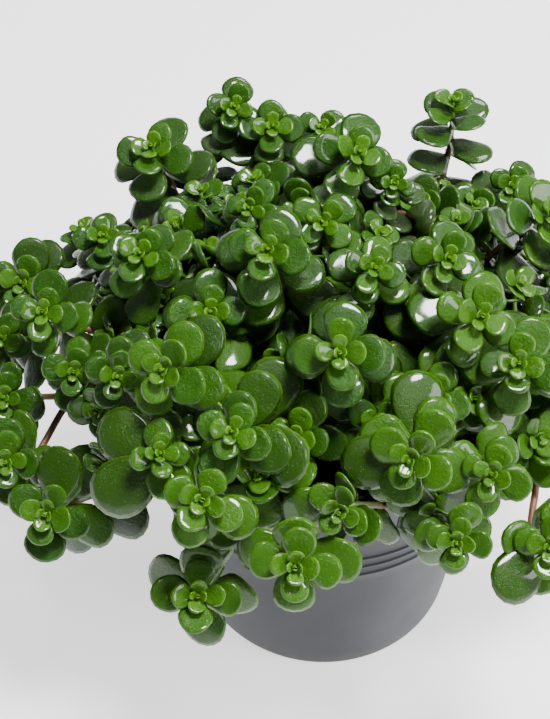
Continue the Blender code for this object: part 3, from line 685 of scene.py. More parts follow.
def leaf_at(spot, place, half, draws, bend, tone):
    """One leaf of a pair, turned and sized by its draws and bent to keep clear of others."""
    centre, axis, side = spot
    tilt, yaw, scale = bend
    wobble_lean, wobble_yaw, wobble_roll, wobble_size, seed = draws
    out = Quaternion(axis, math.radians(90 * (place.arm + 2 * half) + wobble_yaw + yaw)) @ side
    slope = math.radians(place.lean + wobble_lean + tilt)
    along = (axis * math.cos(slope) + out * math.sin(slope)).normalized()
    normal = axis * math.sin(slope) - out * math.cos(slope)
    normal = normal + LIGHT * (LIGHT_PULL * place.age)
    normal = (normal - along * normal.dot(along)).normalized()
    normal = Quaternion(along, math.radians(wobble_roll)) @ normal
    length = place.length * scale * wobble_size
    return Leaf(centre, along, normal, length, place.age, seed, tone)


def bend_options(widest):
    """Bends to try for a leaf, the slightest first: tilt and yaw in degrees, and scale."""
    options = [
        (tilt, yaw, scale)
        for scale, tilt, yaw in itertools.product(BEND_SCALES, BEND_TILTS, BEND_YAWS)
        if abs(yaw) <= widest
    ]
    return sorted(options, key=lambda o: abs(o[0]) + YAW_COST * abs(o[1]) + SHRINK_COST * (1 - o[2]))


def leaf_shape(leaf):
    """How a leaf is cupped across and curled along: young leaves close in, old ones arch down."""
    cup = CUP_YOUNG - CUP_LOSS * leaf.age + CUP_SPREAD * (leaf.seed - 0.5)
    return cup, CURL_YOUNG - CURL_LOSS * leaf.age


def leaf_width(leaf):
    """How wide a leaf is, as a share of the plain one."""
    return WIDTH_YOUNG - WIDTH_LOSS * leaf.age + WIDTH_SPREAD * (leaf.seed - 0.5)


def leaf_guard(leaf, grow):
    """A thin closed shell around a leaf's blade, for tests only."""
    across = leaf.along.cross(leaf.normal).normalized()
    face = across.cross(leaf.along).normalized()
    cup, curl = leaf_shape(leaf)
    half = leaf.length * GUARD_HALF + grow

    def place(x, y, lift):
        height = leaf.length * (cup * x * x + curl * y * y) + lift
        return leaf.node + across * (x * leaf.length) + leaf.along * (y * leaf.length) + face * height

    rim = [*GUARD_RIM, *((-x, y) for x, y in reversed(GUARD_RIM[1:-1]))]
    points = [place(x, y, 0) for x, y in rim]
    points += [place(0, BLADE_CENTRE, half), place(0, BLADE_CENTRE, -half)]
    count = len(rim)
    faces = [(count, i, (i + 1) % count) for i in range(count)]
    faces += [(count + 1, (i + 1) % count, i) for i in range(count)]
    return points, faces


def ring_faces(rings, sides):
    """Faces of a tube between rings of points."""
    faces = []
    for i in range(rings - 1):
        for j in range(sides):
            k = (j + 1) % sides
            faces.append((i * sides + j, i * sides + k, (i + 1) * sides + k, (i + 1) * sides + j))
    return faces


def tube_guard(route, radius):
    """A four-sided tube around a route, for tests only."""
    points = []
    for i, place in enumerate(route):
        ahead = route[min(i + 1, len(route) - 1)] - route[max(i - 1, 0)]
        side = ahead.orthogonal().normalized()
        other = ahead.normalized().cross(side)
        for out in (side, other, -side, -other):
            points.append(place + out * (radius * GUARD_WIDER))
    return points, ring_faces(len(route), 4)


class Guards:
    """What has been placed so far, kept so that a new leaf or stem can be tested against it."""

    def __init__(self, room=9000):
        self.centres = np.zeros((room, 3))
        self.reaches = np.zeros(room)
        self.trees = []
        self.owners = []

    def measured(self, guard):
        """Middle, reach and search tree of a guard."""
        points, faces = guard
        middle = sum(points, Vector()) / len(points)
        return middle, max((p - middle).length for p in points), BVHTree.FromPolygons(points, faces)

    def add(self, guard, owner):
        """Keeps a guard and who it belongs to."""
        count = len(self.trees)
        self.centres[count], self.reaches[count], tree = self.measured(guard)
        self.trees.append(tree)
        self.owners.append(owner)

    def clear(self, guard, skipped):
        """True where a guard touches nothing but what belongs to the skipped owners."""
        middle, reach, tree = self.measured(guard)
        count = len(self.trees)
        apart = np.linalg.norm(self.centres[:count] - np.array(middle), axis=1)
        near = np.nonzero(apart < self.reaches[:count] + reach)[0]
        return not any(self.owners[i] not in skipped and tree.overlap(self.trees[i]) for i in near)


def rosette_places(shoot, route):
    """Place of each leaf pair near the tip of a shoot, the youngest first."""
    places = []
    count = PAIRS_BY_NODES.get(shoot.nodes, INNER_PAIRS)
    for rank, pair in enumerate(PAIRS[:count]):
        depth = pair.depth * MM * shoot.size * (1 + (shoot.stretch - 1) * LEAF_STRETCH)
        length = pair.length * MM * shoot.size
        if depth < route_length(route) - ROSETTE_ABOVE_ROOT:
            places.append(Place(rank % 2, length, pair.lean, depth, rank / (len(PAIRS) - 1)))
    return places


def old_places(shoot, route):
    """Place of each scattered old pair further down."""
    rosette = rosette_places(shoot, route)
    places = []
    depth = rosette[-1].depth + OLD_SPACING
    arm = len(rosette)
    while depth < route_length(route) - OLD_ABOVE_ROOT:
        if along_route(route, depth)[0].z > OLD_HEIGHT:
            places.append(Place(arm % 2, OLD_LENGTH * shoot.size, OLD_LEAN, depth, 1.0))
        depth += OLD_SPACING
        arm += 1
    return places


def shoot_tone(shoot):
    """Painted shade and light with each shoot's own random tone: 0 bright green in front, 1 dull at the
    back and left.
    """
    shade = (SHADE_TO_BACK * shoot.tip.y + SHADE_TO_LEFT * -shoot.tip.x) / TONE_DISTANCE
    own = random.Random(shoot.number).uniform(-TONE_SPREAD, TONE_SPREAD)
    return min(1.0, max(0.0, TONE_MIDDLE + shade + own))


class Plant:
    """The shoots, the rounded routes of their stems, the rooted stem of each, and the leaves."""

    def __init__(self):
        self.shoots = tips()
        coarse, self.stem_of = grow_stems(self.shoots)
        self.shoots = [shoot for shoot in self.shoots if shoot.number in coarse]
        self.routes = {number: smooth_route(route) for number, route in coarse.items()}
        self.leaves = {shoot.number: [] for shoot in self.shoots}
        self.tones = {shoot.number: shoot_tone(shoot) for shoot in self.shoots}
        self.guards = Guards()
        self.draw = random.Random(SEED + 2)
        for number, route in self.routes.items():
            self.guards.add(tube_guard(route, STEM_RADIUS), (number, "stem"))
        outer = list(self.shoots)
        self.add_leaves(outer, rosette_places, loose=5, widest=30)
        self.add_single_leaves()
        inner = self.add_inner_shoots()
        self.add_leaves(inner, rosette_places, loose=8, widest=45)
        self.add_leaves(outer + inner, old_places, loose=12, widest=45)

    def add_leaves(self, shoots, places_of, loose, widest):
        """Grows leaf pairs, the youngest of all shoots first, each leaf bent clear of its neighbours.

        loose is how many degrees a leaf may stray, twice that in old ones, and widest its largest yaw.
        """
        draw = self.draw
        options = bend_options(widest)
        found = {shoot.number: places_of(shoot, self.routes[shoot.number]) for shoot in shoots}
        for rank in range(max(len(places) for places in found.values())):
            for shoot in shoots:
                number = shoot.number
                if rank >= len(found[number]):
                    continue
                place = found[number][rank]
                level = (number, place.depth)
                younger = found[number][max(0, rank - (BUD_SKIPS if rank < BUD_RANKS else 1)) : rank]
                skipped = {(number, "stem"), level} | {(number, other.depth) for other in younger}
                spot = leaf_spot(shoot, self.routes[number], place.depth)
                free = loose * (1 + place.age)
                roll = ROLL_SHARE * free
                for half in range(2):
                    draws = (
                        draw.uniform(-free, free),
                        draw.uniform(-free, free),
                        draw.uniform(-roll, roll),
                        draw.uniform(*(OLD_SIZES if place.age == 1 else GROWN_SIZES)),
                        draw.random(),
                    )
                    tone = self.tones[number]
                    tries = (leaf_at(spot, place, half, draws, bend, tone) for bend in options)
                    self.add_leaf(number, level, skipped, tries)

    def add_single_leaves(self):
        """Each large old leaf grows from the nearest stem towards its place in the photograph."""
        places = []
        for number, route in self.routes.items():
            last = route_length(route) - SINGLE_ABOVE_ROOT
            for distance in np.arange(SINGLE_BELOW_TIP, last, SINGLE_STEP):
                places.append((number, along_route(route, distance)[0]))
        for column, row, out, length in SINGLE_LEAVES:
            middle = dome_point(column, row, out * MM)
            near = sorted(places, key=lambda place: (place[1] - middle).length)[:SINGLE_PLACES]
            tries = []
            for number, point in near:
                if (middle - point).length < SINGLE_REACH:
                    along = (middle - point).normalized()
                    normal = (LIGHT - along * LIGHT.dot(along)).normalized()
                    for scale, roll in itertools.product(SINGLE_SCALES, SINGLE_ROLLS):
                        face = Quaternion(along, math.radians(roll)) @ normal
                        size = length * MM * scale
                        leaf = Leaf(point, along, face, size, 1.0, SINGLE_SEED, SINGLE_TONE)
                        tries.append((number, leaf))
            for number, leaf in tries:
                if self.add_leaf(number, (number, "single"), {(number, "stem")}, [leaf]):
                    break

    def add_leaf(self, number, level, skipped, tries):
        """Adds the first of several tries that touches nothing, and tells whether there is one."""
        for leaf in tries:
            tip = leaf.node + leaf.along * leaf.length
            middle = leaf.node.lerp(tip, BLADE_CENTRE)
            if near_pot(tip, POT_CLEARANCE) or near_pot(middle, POT_CLEARANCE):
                continue
            guard = leaf_guard(leaf, LEAF_CLEARANCE)
            if self.guards.clear(guard, skipped):
                self.guards.add(guard, level)
                self.leaves[number].append(leaf)
                return True
        return False

    def add_inner_shoots(self):
        """Side shoots on a spiral under the dome, each grown from the nearest stem that it can reach."""
        added = []
        for i in range(INNER_COUNT):
            slope = math.asin(1 - INNER_SPREAD * (i + 0.5) / INNER_COUNT)
            size, turn = self.draw.uniform(*INNER_SIZES), self.draw.uniform(0, 90)
            for depth in INNER_DEPTHS:
                wide, high = DOME_RADIUS - depth * MM, DOME_RISE - depth * MM
                height = DOME_HEIGHT + high * math.sin(slope)
                tip = Vector(around(wide * math.cos(slope), i * GOLDEN_ANGLE, height))
                if tip.y < INNER_FRONT and tip.z < INNER_LOW:
                    continue
                axis = (dome_normal(tip) + LIGHT_SIDE).normalized()
                number = len(self.shoots) + FIRST_INNER_NUMBER
                shoot = Shoot(number, tip, axis, axis, size, 1.0, turn, 0, False)
                if self.add_inner_shoot(shoot):
                    added.append(shoot)
                    break
        return added

    def add_inner_shoot(self, shoot):
        """True where a shoot finds a way from its tip to a stem."""
        joints = []
        for number, route in self.routes.items():
            last = route_length(route) - JOINT_ABOVE_ROOT
            for distance in np.arange(JOINT_BELOW_TIP, last, JOINT_STEP):
                point, ahead = along_route(route, distance)
                gap = (shoot.tip - point).length
                if INNER_LENGTHS[0] < gap < INNER_LENGTHS[1] and point.z > JOINT_HEIGHT:
                    joints.append((gap + max(0, point.z - shoot.tip.z), number, point, ahead))
        for gap, parent, point, ahead in sorted(joints, key=lambda joint: joint[0])[:JOINT_TRIES]:
            way = (shoot.tip - point).normalized()
            leaving = point + (ahead + way).normalized() * (gap * INNER_START_PULL)
            arriving = shoot.tip - shoot.axis * (gap * INNER_END_PULL)
            route = bezier(point, leaving, arriving, shoot.tip, INNER_STEPS)
            if max(bends(route)) > INNER_SHARPEST:
                continue
            if any(near_pot(place, INNER_CLEARANCE) for place in route):
                continue
            if self.guards.clear(tube_guard(route[1:], STEM_RADIUS), {(parent, "stem")}):
                number = shoot.number
                self.guards.add(tube_guard(route, STEM_RADIUS), (number, "stem"))
                self.shoots.append(shoot)
                self.routes[number] = route
                self.leaves[number] = []
                self.tones[number] = shoot_tone(shoot)
                self.stem_of[number] = self.stem_of[parent]
                return True
        return False

    def stems(self):
        """Name and shoots of each leafy stem, the rooted shoot first."""
        found = []
        for count, root in enumerate(sorted(set(self.stem_of.values())), 1):
            members = [shoot for shoot in self.shoots if self.stem_of[shoot.number] == root]
            members.sort(key=lambda shoot: shoot.number != root)
            found.append((f"leafy_stem_{count:02d}", members))
        return found


# ---- Materials


class Wiring:
    """Adds nodes to a tree and joins them in a few words."""

    def __init__(self, tree):
        self.tree = tree

    def node(self, kind, feeds=None, **settings):
        """A new node with its settings and with what goes into its inputs."""
        made = self.tree.nodes.new(kind)
        for name, value in settings.items():
            setattr(made, name, value)
        return self.feed(made, feeds or {})

    def feed(self, node, feeds):
        """Joins an output to each named input of a node, or sets the input to a value or a colour."""
        for name, source in feeds.items():
            target = node.inputs[name]
            if hasattr(source, "is_output"):
                self.tree.links.new(source, target)
            elif target.type == "RGBA":
                target.default_value = (*source, 1)
            else:
                target.default_value = source
        return node

    def value(self, operation, *inputs):
        """A number worked out from others."""
        return self.node("ShaderNodeMath", dict(enumerate(inputs)), operation=operation).outputs[0]

    def times(self, first, *others):
        """The product of several numbers."""
        for other in others:
            first = self.value("MULTIPLY", first, other)
        return first

    def varied(self, base, source, middle, share):
        """A number raised or lowered by a share of how far a source is from its middle."""
        return self.value("ADD", base, self.times(self.value("SUBTRACT", source, middle), share))

    def vector(self, operation, *inputs):
        """A vector worked out from others."""
        feeds = dict(enumerate(inputs))
        return self.node("ShaderNodeVectorMath", feeds, operation=operation).outputs[0]

    def scaled(self, vector, scale):
        """A vector made longer or shorter."""
        feeds = {0: vector, "Scale": scale}
        return self.node("ShaderNodeVectorMath", feeds, operation="SCALE").outputs[0]

    def blend(self, factor, a, b):
        """A colour between two others."""
        return self.node("ShaderNodeMix", {0: factor, 6: a, 7: b}, data_type="RGBA").outputs[2]

    def ramp(self, source, low, high):
        """0 at low and below, 1 at high and above, and smooth in between."""
        feeds = {"Value": source, "From Min": low, "From Max": high}
        return self.node("ShaderNodeMapRange", feeds, interpolation_type="SMOOTHSTEP").outputs["Result"]

    def noise(self, place, scale, detail=2.0, roughness=0.5):
        """Soft spots between 0 and 1."""
        feeds = {"Vector": place, "Scale": scale, "Detail": detail, "Roughness": roughness}
        return self.node("ShaderNodeTexNoise", feeds).outputs["Fac"]

    def bump(self, height, strength, distance, under=None):
        """A surface direction that follows small heights."""
        feeds = {"Height": height, "Strength": strength, "Distance": distance}
        if under is not None:
            feeds["Normal"] = under
        return self.node("ShaderNodeBump", feeds).outputs["Normal"]

    def place(self):
        """Where a shaded point is on its object."""
        return self.node("ShaderNodeTexCoord").outputs["Object"]

    def kept(self, name, output="Fac"):
        """What the points of a mesh keep under a name, for a material."""
        return self.node("ShaderNodeAttribute", attribute_name=name).outputs[output]


def new_material(name):
    """A node material with its wiring and its Principled shader."""
    made = bpy.data.materials.new(name)
    made.use_nodes = True
    return made, Wiring(made.node_tree), made.node_tree.nodes["Principled BSDF"]


def leaf_material(look):
    """Glossy fleshy leaf: bright in the bud, deep green with age, with a thin light margin and specks."""
    made, wires, shader = new_material("sedum_leaf")
    place = wires.place()
    age, seed, tone, rim = (wires.kept(name) for name in ("age", "seed", "tone", "rim"))

    # Age sets the green. The shoot's tone, partly painted shade, greys and darkens old leaves towards the
    # back and left, and makes those in front a brighter green as painted light
    cloud = wires.noise(place, scale=160, detail=3)
    grown = wires.varied(age, cloud, 0.5, 0.3)
    colour = wires.blend(wires.ramp(grown, 0.02, 0.5), look.young, look.grown)
    colour = wires.blend(wires.ramp(grown, 0.45, 0.95), colour, look.old)
    tone_and_shade = wires.varied(tone, seed, 0.5, 0.5)
    bloom_and_shade = wires.times(wires.ramp(tone_and_shade, 0.45, 0.85), wires.ramp(age, 0.35, 0.9))
    colour = wires.blend(wires.times(bloom_and_shade, 0.7), colour, look.bloom_and_shade)
    colour = wires.blend(wires.times(wires.ramp(tone_and_shade, 0.45, 0.1), 0.6), colour, look.fresh_and_lit)

    # The light margin and the specks
    colour = wires.blend(wires.times(wires.ramp(rim, 0.92, 0.99), 0.35), colour, look.margin)
    spread = wires.vector("ADD", place, wires.scaled((1, 1, 1), seed))
    dots = wires.node("ShaderNodeTexVoronoi", {"Vector": spread, "Scale": 900}, feature="F1")
    patches = wires.ramp(wires.noise(spread, scale=500, detail=1), 0.42, 0.56)
    specks = wires.times(wires.ramp(dots.outputs["Distance"], 0.18, 0.08), 0.45, patches)
    colour = wires.blend(specks, colour, look.speck)

    # Shallow folds across the blade, and a fine grain
    worn = wires.varied(wires.times(bloom_and_shade, 0.16), cloud, 0.4, 0.25)
    long_way = wires.vector("MULTIPLY", wires.kept("blade", "Vector"), (4, 2.2, 1))
    folds = wires.noise(wires.vector("ADD", long_way, wires.scaled((7, 3, 5), seed)), scale=1.6, detail=3)
    grain = wires.noise(spread, scale=1100, detail=3, roughness=0.7)
    normal = wires.bump(folds, strength=0.3, distance=0.6 * MM)
    normal = wires.bump(grain, strength=1.0, distance=0.48 * MM, under=normal)
    settings = {
        "Base Color": colour,
        "Roughness": wires.value("ADD", look.roughness, worn),
        "Normal": normal,
        "Subsurface Weight": 0.08,
        "Subsurface Radius": (0.4, 1.0, 0.15),
        "Subsurface Scale": 1.2 * MM,
        "IOR": 1.46,
        "Specular IOR Level": 0.15,
        "Coat Weight": 0.46,
        "Coat Roughness": 0.1,
    }
    wires.feed(shader, settings)
    return made


def stem_material(look):
    """Green at the tip and reddish brown below, with fine wrinkles."""
    made, wires, shader = new_material("sedum_stem")
    place = wires.place()
    grown = wires.varied(wires.kept("age"), wires.noise(place, scale=300, detail=3), 0.5, 0.3)
    colour = wires.blend(wires.ramp(grown, 0.1, 0.45), look.young_stem, look.red_stem)
    colour = wires.blend(wires.ramp(grown, 0.6, 1.0), colour, look.old_stem)
    wrinkles = wires.noise(place, scale=900, detail=3)
    normal = wires.bump(wrinkles, strength=0.6, distance=0.3 * MM)
    wires.feed(shader, {"Base Color": colour, "Normal": normal, "Roughness": 0.5})
    return made


def pot_material(look):
    """Satin moulded plastic: a faint grain, faint turning lines and a little dust at the foot."""
    made, wires, shader = new_material("grey_plastic")
    place = wires.place()
    lighter = [part * 1.25 for part in look.colour]
    colour = wires.blend(wires.noise(place, scale=35, detail=3), look.colour, lighter)
    height = wires.node("ShaderNodeSeparateXYZ", {0: place}).outputs["Z"]
    dust = wires.times(wires.ramp(height, 12 * MM, 0.0), wires.noise(place, scale=220, detail=4), 0.35)
    colour = wires.blend(dust, colour, (0.16, 0.14, 0.12))
    worn = wires.times(wires.noise(place, scale=60, detail=4), 0.12)
    lines = wires.noise(wires.vector("MULTIPLY", place, (4, 4, 900)), scale=1.0, detail=2)
    grain = wires.noise(place, scale=2600, detail=1)
    normal = wires.bump(lines, strength=0.12, distance=0.1 * MM)
    normal = wires.bump(grain, strength=0.12, distance=0.05 * MM, under=normal)
    settings = {
        "Base Color": colour,
        "Roughness": wires.value("ADD", look.roughness, worn),
        "Normal": normal,
        "Specular IOR Level": 0.2,
    }
    wires.feed(shader, settings)
    return made


def soil_material(look):
    """Dark moist peat with lighter fibres."""
    made, wires, shader = new_material("dark_soil")
    place = wires.place()
    fibres = wires.noise(place, scale=420, detail=5, roughness=0.7)
    lumps = wires.noise(place, scale=700, detail=5, roughness=0.7)
    colour = wires.blend(wires.ramp(fibres, 0.35, 0.7), look.dark, look.light)
    normal = wires.bump(lumps, strength=1.0, distance=1.2 * MM)
    wires.feed(shader, {"Base Color": colour, "Normal": normal, "Roughness": 0.95})
    return made


def crumb_material(look):
    """Bark crumbs and pale perlite grains, told apart by each grain's own number."""
    made, wires, shader = new_material("soil_crumbs")
    place = wires.place()
    bark = wires.blend(wires.noise(place, scale=500, detail=3), look.dark, look.bark)
    colour = wires.blend(wires.ramp(wires.kept("seed"), 0.84, 0.86), bark, look.perlite)
    normal = wires.bump(wires.noise(place, scale=1200, detail=3), strength=0.8, distance=0.4 * MM)
    wires.feed(shader, {"Base Color": colour, "Normal": normal, "Roughness": 0.9})
    return made


# ---- Meshes


def new_object(name, data):
    """A new object in the scene."""
    made = bpy.data.objects.new(name, data)
    bpy.context.scene.collection.objects.link(made)
    return made


def mesh_object(name, points, faces, edges=()):
    """A new mesh object from points, faces and edges."""
    mesh = bpy.data.meshes.new(name)
    mesh.from_pydata([tuple(p) for p in points], list(edges), faces)
    mesh.update()
    return new_object(name, mesh)


def settled(source, name):
    """A plain mesh object that takes the place of one with modifiers."""
    bpy.context.view_layer.update()
    graph = bpy.context.evaluated_depsgraph_get()
    mesh = bpy.data.meshes.new_from_object(source.evaluated_get(graph))
    bpy.data.objects.remove(source)
    mesh.name = name
    return new_object(name, mesh)


def finish_piece(made, replaced):
    """Ties a finished piece to the frame."""
    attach(made, "root")
    if replaced:
        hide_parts(replaced)
    return made


def store(mesh, columns):
    """Keeps named numbers or vectors for the points of a mesh."""
    for name, values in columns.items():
        values = np.array(values, float)
        kind, field = ("FLOAT_VECTOR", "vector") if values.ndim == 2 else ("FLOAT", "value")
        layer = mesh.attributes.new(name, kind, "POINT")
        layer.data.foreach_set(field, values.ravel())


def node_tree(name, inputs):
    """A geometry node tree with named inputs, its wiring and what it is given."""
    tree = bpy.data.node_groups.new(name, "GeometryNodeTree")
    for label, kind in {"Geometry": "Geometry", **inputs, "Material": "Material"}.items():
        tree.interface.new_socket(label, in_out="INPUT", socket_type="NodeSocket" + kind)
    tree.interface.new_socket("Geometry", in_out="OUTPUT", socket_type="NodeSocketGeometry")
    wires = Wiring(tree)
    return tree, wires, wires.node("NodeGroupInput").outputs


def real_copies(wires, given, item, turns):
    """The given item put on each point of the given mesh, as real geometry."""
    spots = wires.node("GeometryNodeMeshToPoints", {"Mesh": given["Geometry"]})
    copied = wires.node("GeometryNodeObjectInfo", {"Object": given[item]})
    feeds = {"Points": spots.outputs["Points"], "Instance": copied.outputs["Geometry"], **turns}
    placed = wires.node("GeometryNodeInstanceOnPoints", feeds).outputs["Instances"]
    return wires.node("GeometryNodeRealizeInstances", {"Geometry": placed}).outputs["Geometry"]


def end_tree(wires, given, geometry):
    """Ends a tree with the given material."""
    feeds = {"Geometry": geometry, "Material": given["Material"]}
    coloured = wires.node("GeometryNodeSetMaterial", feeds)
    wires.node("NodeGroupOutput", {0: coloured.outputs["Geometry"]})


def add_tree(target, tree, values):
    """Puts a tree on an object and sets its inputs by their identifiers."""
    modifier = target.modifiers.new(tree.name, "NODES")
    modifier.node_group = tree
    for socket in tree.interface.items_tree:
        if socket.in_out == "INPUT" and socket.name in values:
            modifier[socket.identifier] = values[socket.name]


def outline_reach(angle):
    """Distance from the blade's middle to its edge, in leaf lengths: an oval that narrows to the stem."""
    oval = BLADE_HALF_WIDTH * BLADE_HALF_LENGTH
    oval /= math.hypot(BLADE_HALF_LENGTH * math.sin(angle), BLADE_HALF_WIDTH * math.cos(angle))
    wedge = (BLADE_CENTRE - BLADE_HALF_LENGTH) * math.exp(
        -(((math.pi - abs(angle)) / BLADE_NARROWING) ** 2)
    )
    return oval + wedge


def plain_leaf(across=4, lengthwise=5):
    """One leaf of unit length along +Y with its face up, and each point's place on the blade kept."""
    points, rims, index = [], [], {}

    def blade_point(x, y, share, height):
        angle = math.atan2(x, y)
        reach = outline_reach(angle) * math.hypot(x, y) * share
        points.append((reach * math.sin(angle), BLADE_CENTRE + reach * math.cos(angle), height))
        rims.append(math.hypot(x, y) * share)
        return len(points) - 1

    edge = []
    for i in range(across + 1):
        for j in range(lengthwise + 1):
            s, t = 2 * i / across - 1, 2 * j / lengthwise - 1
            x, y = s * math.sqrt(1 - t * t / 2), t * math.sqrt(1 - s * s / 2)
            index[i, j] = blade_point(x, y, BLADE_RIM, 0.5 - BLADE_DROP * (x * x + y * y))
            if i in (0, across) or j in (0, lengthwise):
                edge.append((math.atan2(x, y), index[i, j], blade_point(x, y, 1.0, 0.0)))
    faces = [
        (index[i, j], index[i + 1, j], index[i + 1, j + 1], index[i, j + 1])
        for i in range(across)
        for j in range(lengthwise)
    ]
    under = blade_point(0, 0, 0, -0.5)
    edge.sort(reverse=True)
    for (_, inner, outer), (_, next_inner, next_outer) in zip(edge, edge[1:] + edge[:1]):
        faces.append((outer, next_outer, next_inner, inner))
        faces.append((next_outer, outer, under))
    made = mesh_object("plain_leaf", points, faces)
    store(made.data, {"blade": points, "rim": rims})
    return made


def leaf_tree():
    """Puts a leaf on each point, sized, cupped, curled and turned by the point's own values."""
    inputs = {"Leaf": "Object", "Plumpness": "Float", "Wave": "Float", "Unevenness": "Float"}
    tree, wires, given = node_tree("crossed_leaves", inputs)

    def kept(name, kind="FLOAT"):
        return wires.node("GeometryNodeInputNamedAttribute", {"Name": name}, data_type=kind).outputs[0]

    blade = kept("blade", "FLOAT_VECTOR")
    x, y, z = wires.node("ShaderNodeSeparateXYZ", {0: blade}).outputs
    length = kept("length")
    phase = wires.times(kept("seed"), WAVE_SHIFT)
    beat = wires.value("SINE", wires.value("MULTIPLY_ADD", y, WAVE_RATE, phase))
    bent = wires.value("ADD", wires.times(x, x, kept("cup")), wires.times(y, y, kept("curl")))
    waved = wires.value("ADD", bent, wires.times(beat, x, given["Wave"]))
    thick = wires.times(z, kept("thickness"), given["Plumpness"])
    wide = wires.times(kept("width"), wires.value("MULTIPLY_ADD", beat, given["Unevenness"], 1.0))
    moves = {
        "across": wires.times(x, length, wide),
        "along": wires.times(y, length),
        "face": wires.value("ADD", wires.times(waved, length), thick),
    }
    position = wires.node("GeometryNodeInputPosition").outputs[0]
    target = wires.vector("SUBTRACT", position, blade)
    for direction, far in moves.items():
        target = wires.vector("ADD", target, wires.scaled(kept(direction, "FLOAT_VECTOR"), far))
    feeds = {"Geometry": real_copies(wires, given, "Leaf", {}), "Position": target}
    moved = wires.node("GeometryNodeSetPosition", feeds)
    end_tree(wires, given, moved.outputs["Geometry"])
    return tree


def leaves_mesh(name, leaves, leaf_object, tree, look, material):
    """All the leaves of one leafy stem as a plain mesh."""
    points = mesh_object(name + "_points", [leaf.node for leaf in leaves], [])
    acrosses = [leaf.along.cross(leaf.normal).normalized() for leaf in leaves]
    shapes = {
        "along": [leaf.along for leaf in leaves],
        "across": acrosses,
        "face": [across.cross(leaf.along) for across, leaf in zip(acrosses, leaves)],
        "length": [leaf.length for leaf in leaves],
        "cup": [leaf_shape(leaf)[0] for leaf in leaves],
        "curl": [leaf_shape(leaf)[1] for leaf in leaves],
        "width": [leaf_width(leaf) for leaf in leaves],
        "thickness": [
            look.thickness * min(1.0, THIN_SHARE + leaf.length / FULL_LEAF_LENGTH) for leaf in leaves
        ],
    }
    looks = {kind: [getattr(leaf, kind) for leaf in leaves] for kind in ("age", "seed", "tone")}
    store(points.data, {**shapes, **looks})
    inputs = {
        "Leaf": leaf_object,
        "Plumpness": look.plumpness,
        "Wave": look.wave,
        "Unevenness": look.unevenness,
        "Material": material,
    }
    add_tree(points, tree, inputs)
    made = settled(points, name)
    for used in shapes:
        made.data.attributes.remove(made.data.attributes[used])
    made.data.shade_smooth()
    return made


def tube(route, radius_at, age_at, sides):
    """Points, faces and ages of a closed tube along a route, pointed at its end."""
    points, ages = [], []
    side = (route[1] - route[0]).orthogonal().normalized()
    total = route_length(route)
    done = 0.0
    for i, place in enumerate(route):
        ahead = (route[min(i + 1, len(route) - 1)] - route[max(i - 1, 0)]).normalized()
        side = (side - ahead * side.dot(ahead)).normalized()
        other = ahead.cross(side)
        if i:
            done += (place - route[i - 1]).length
        depth = total - done
        for j in range(sides):
            turn = 2 * math.pi * j / sides
            out = side * math.cos(turn) + other * math.sin(turn)
            points.append(place + out * radius_at(depth))
            ages.append(age_at(depth))
    points.append(route[-1] + (route[-1] - route[-2]).normalized() * radius_at(0))
    ages.append(0.0)
    faces = [*ring_faces(len(route), sides), tuple(reversed(range(sides)))]
    last = (len(route) - 1) * sides
    faces += [(last + j, last + (j + 1) % sides, len(points) - 1) for j in range(sides)]
    return points, faces, ages


def even_route(route, step):
    """The same route with points at even steps."""
    total = route_length(route)
    count = max(2, round(total / step))
    return [along_route(route, total * (1 - i / count))[0] for i in range(count)] + [route[-1]]


def stems_mesh(name, members, routes, look, material):
    """The stem of one leafy stem and its side shoots, with a slight swelling at each leaf pair."""
    points, faces, ages = [], [], []
    for shoot in members:
        route = routes[shoot.number]
        nodes = [place.depth for place in rosette_places(shoot, route) + old_places(shoot, route)]

        def radius_at(depth, nodes=nodes):
            thin = TIP_THINNESS + (1 - TIP_THINNESS) * min(1.0, depth / FULL_STEM_DEPTH)
            swells = (((depth - node) / SWELL_LENGTH) ** 2 for node in nodes if node > BUD_DEPTH)
            return look.radius * thin + SWELL * sum(math.exp(-far) for far in swells)

        def age_at(depth):
            return min(1.0, depth / WOODY_DEPTH)

        added = tube(even_route(route, STEM_STEP), radius_at, age_at, STEM_SIDES)
        faces += [tuple(i + len(points) for i in face) for face in added[1]]
        points += added[0]
        ages += added[2]
    made = mesh_object(name, points, faces)
    store(made.data, {"age": ages})
    made.data.shade_smooth()
    made.data.materials.append(material)
    return made


def turned(name, profile, sides):
    """A solid turned from a profile of radius and height."""
    edges = [(i, i + 1) for i in range(len(profile) - 1)]
    made = mesh_object(name + "_profile", [(r, 0, z) for r, z in profile], [], edges)
    screw = made.modifiers.new("turn", "SCREW")
    screw.steps = sides
    screw.render_steps = sides
    screw.use_merge_vertices = True
    screw.merge_threshold = 0.01 * MM
    return settled(made, name)


def rounded(profile, radius, steps=4):
    """A profile with its inner corners rounded."""
    points = [Vector(profile[0])]
    for before, here, after in zip(profile, profile[1:], profile[2:]):
        a, b, c = Vector(before), Vector(here), Vector(after)
        into, out = a - b, c - b
        reach = min(radius, into.length * 0.45, out.length * 0.45)
        start, end = b + into.normalized() * reach, b + out.normalized() * reach
        for i in range(steps + 1):
            t = i / steps
            points.append(start * (1 - t) ** 2 + b * (2 * t * (1 - t)) + end * t**2)
    points.append(Vector(profile[-1]))
    return [tuple(p) for p in points]


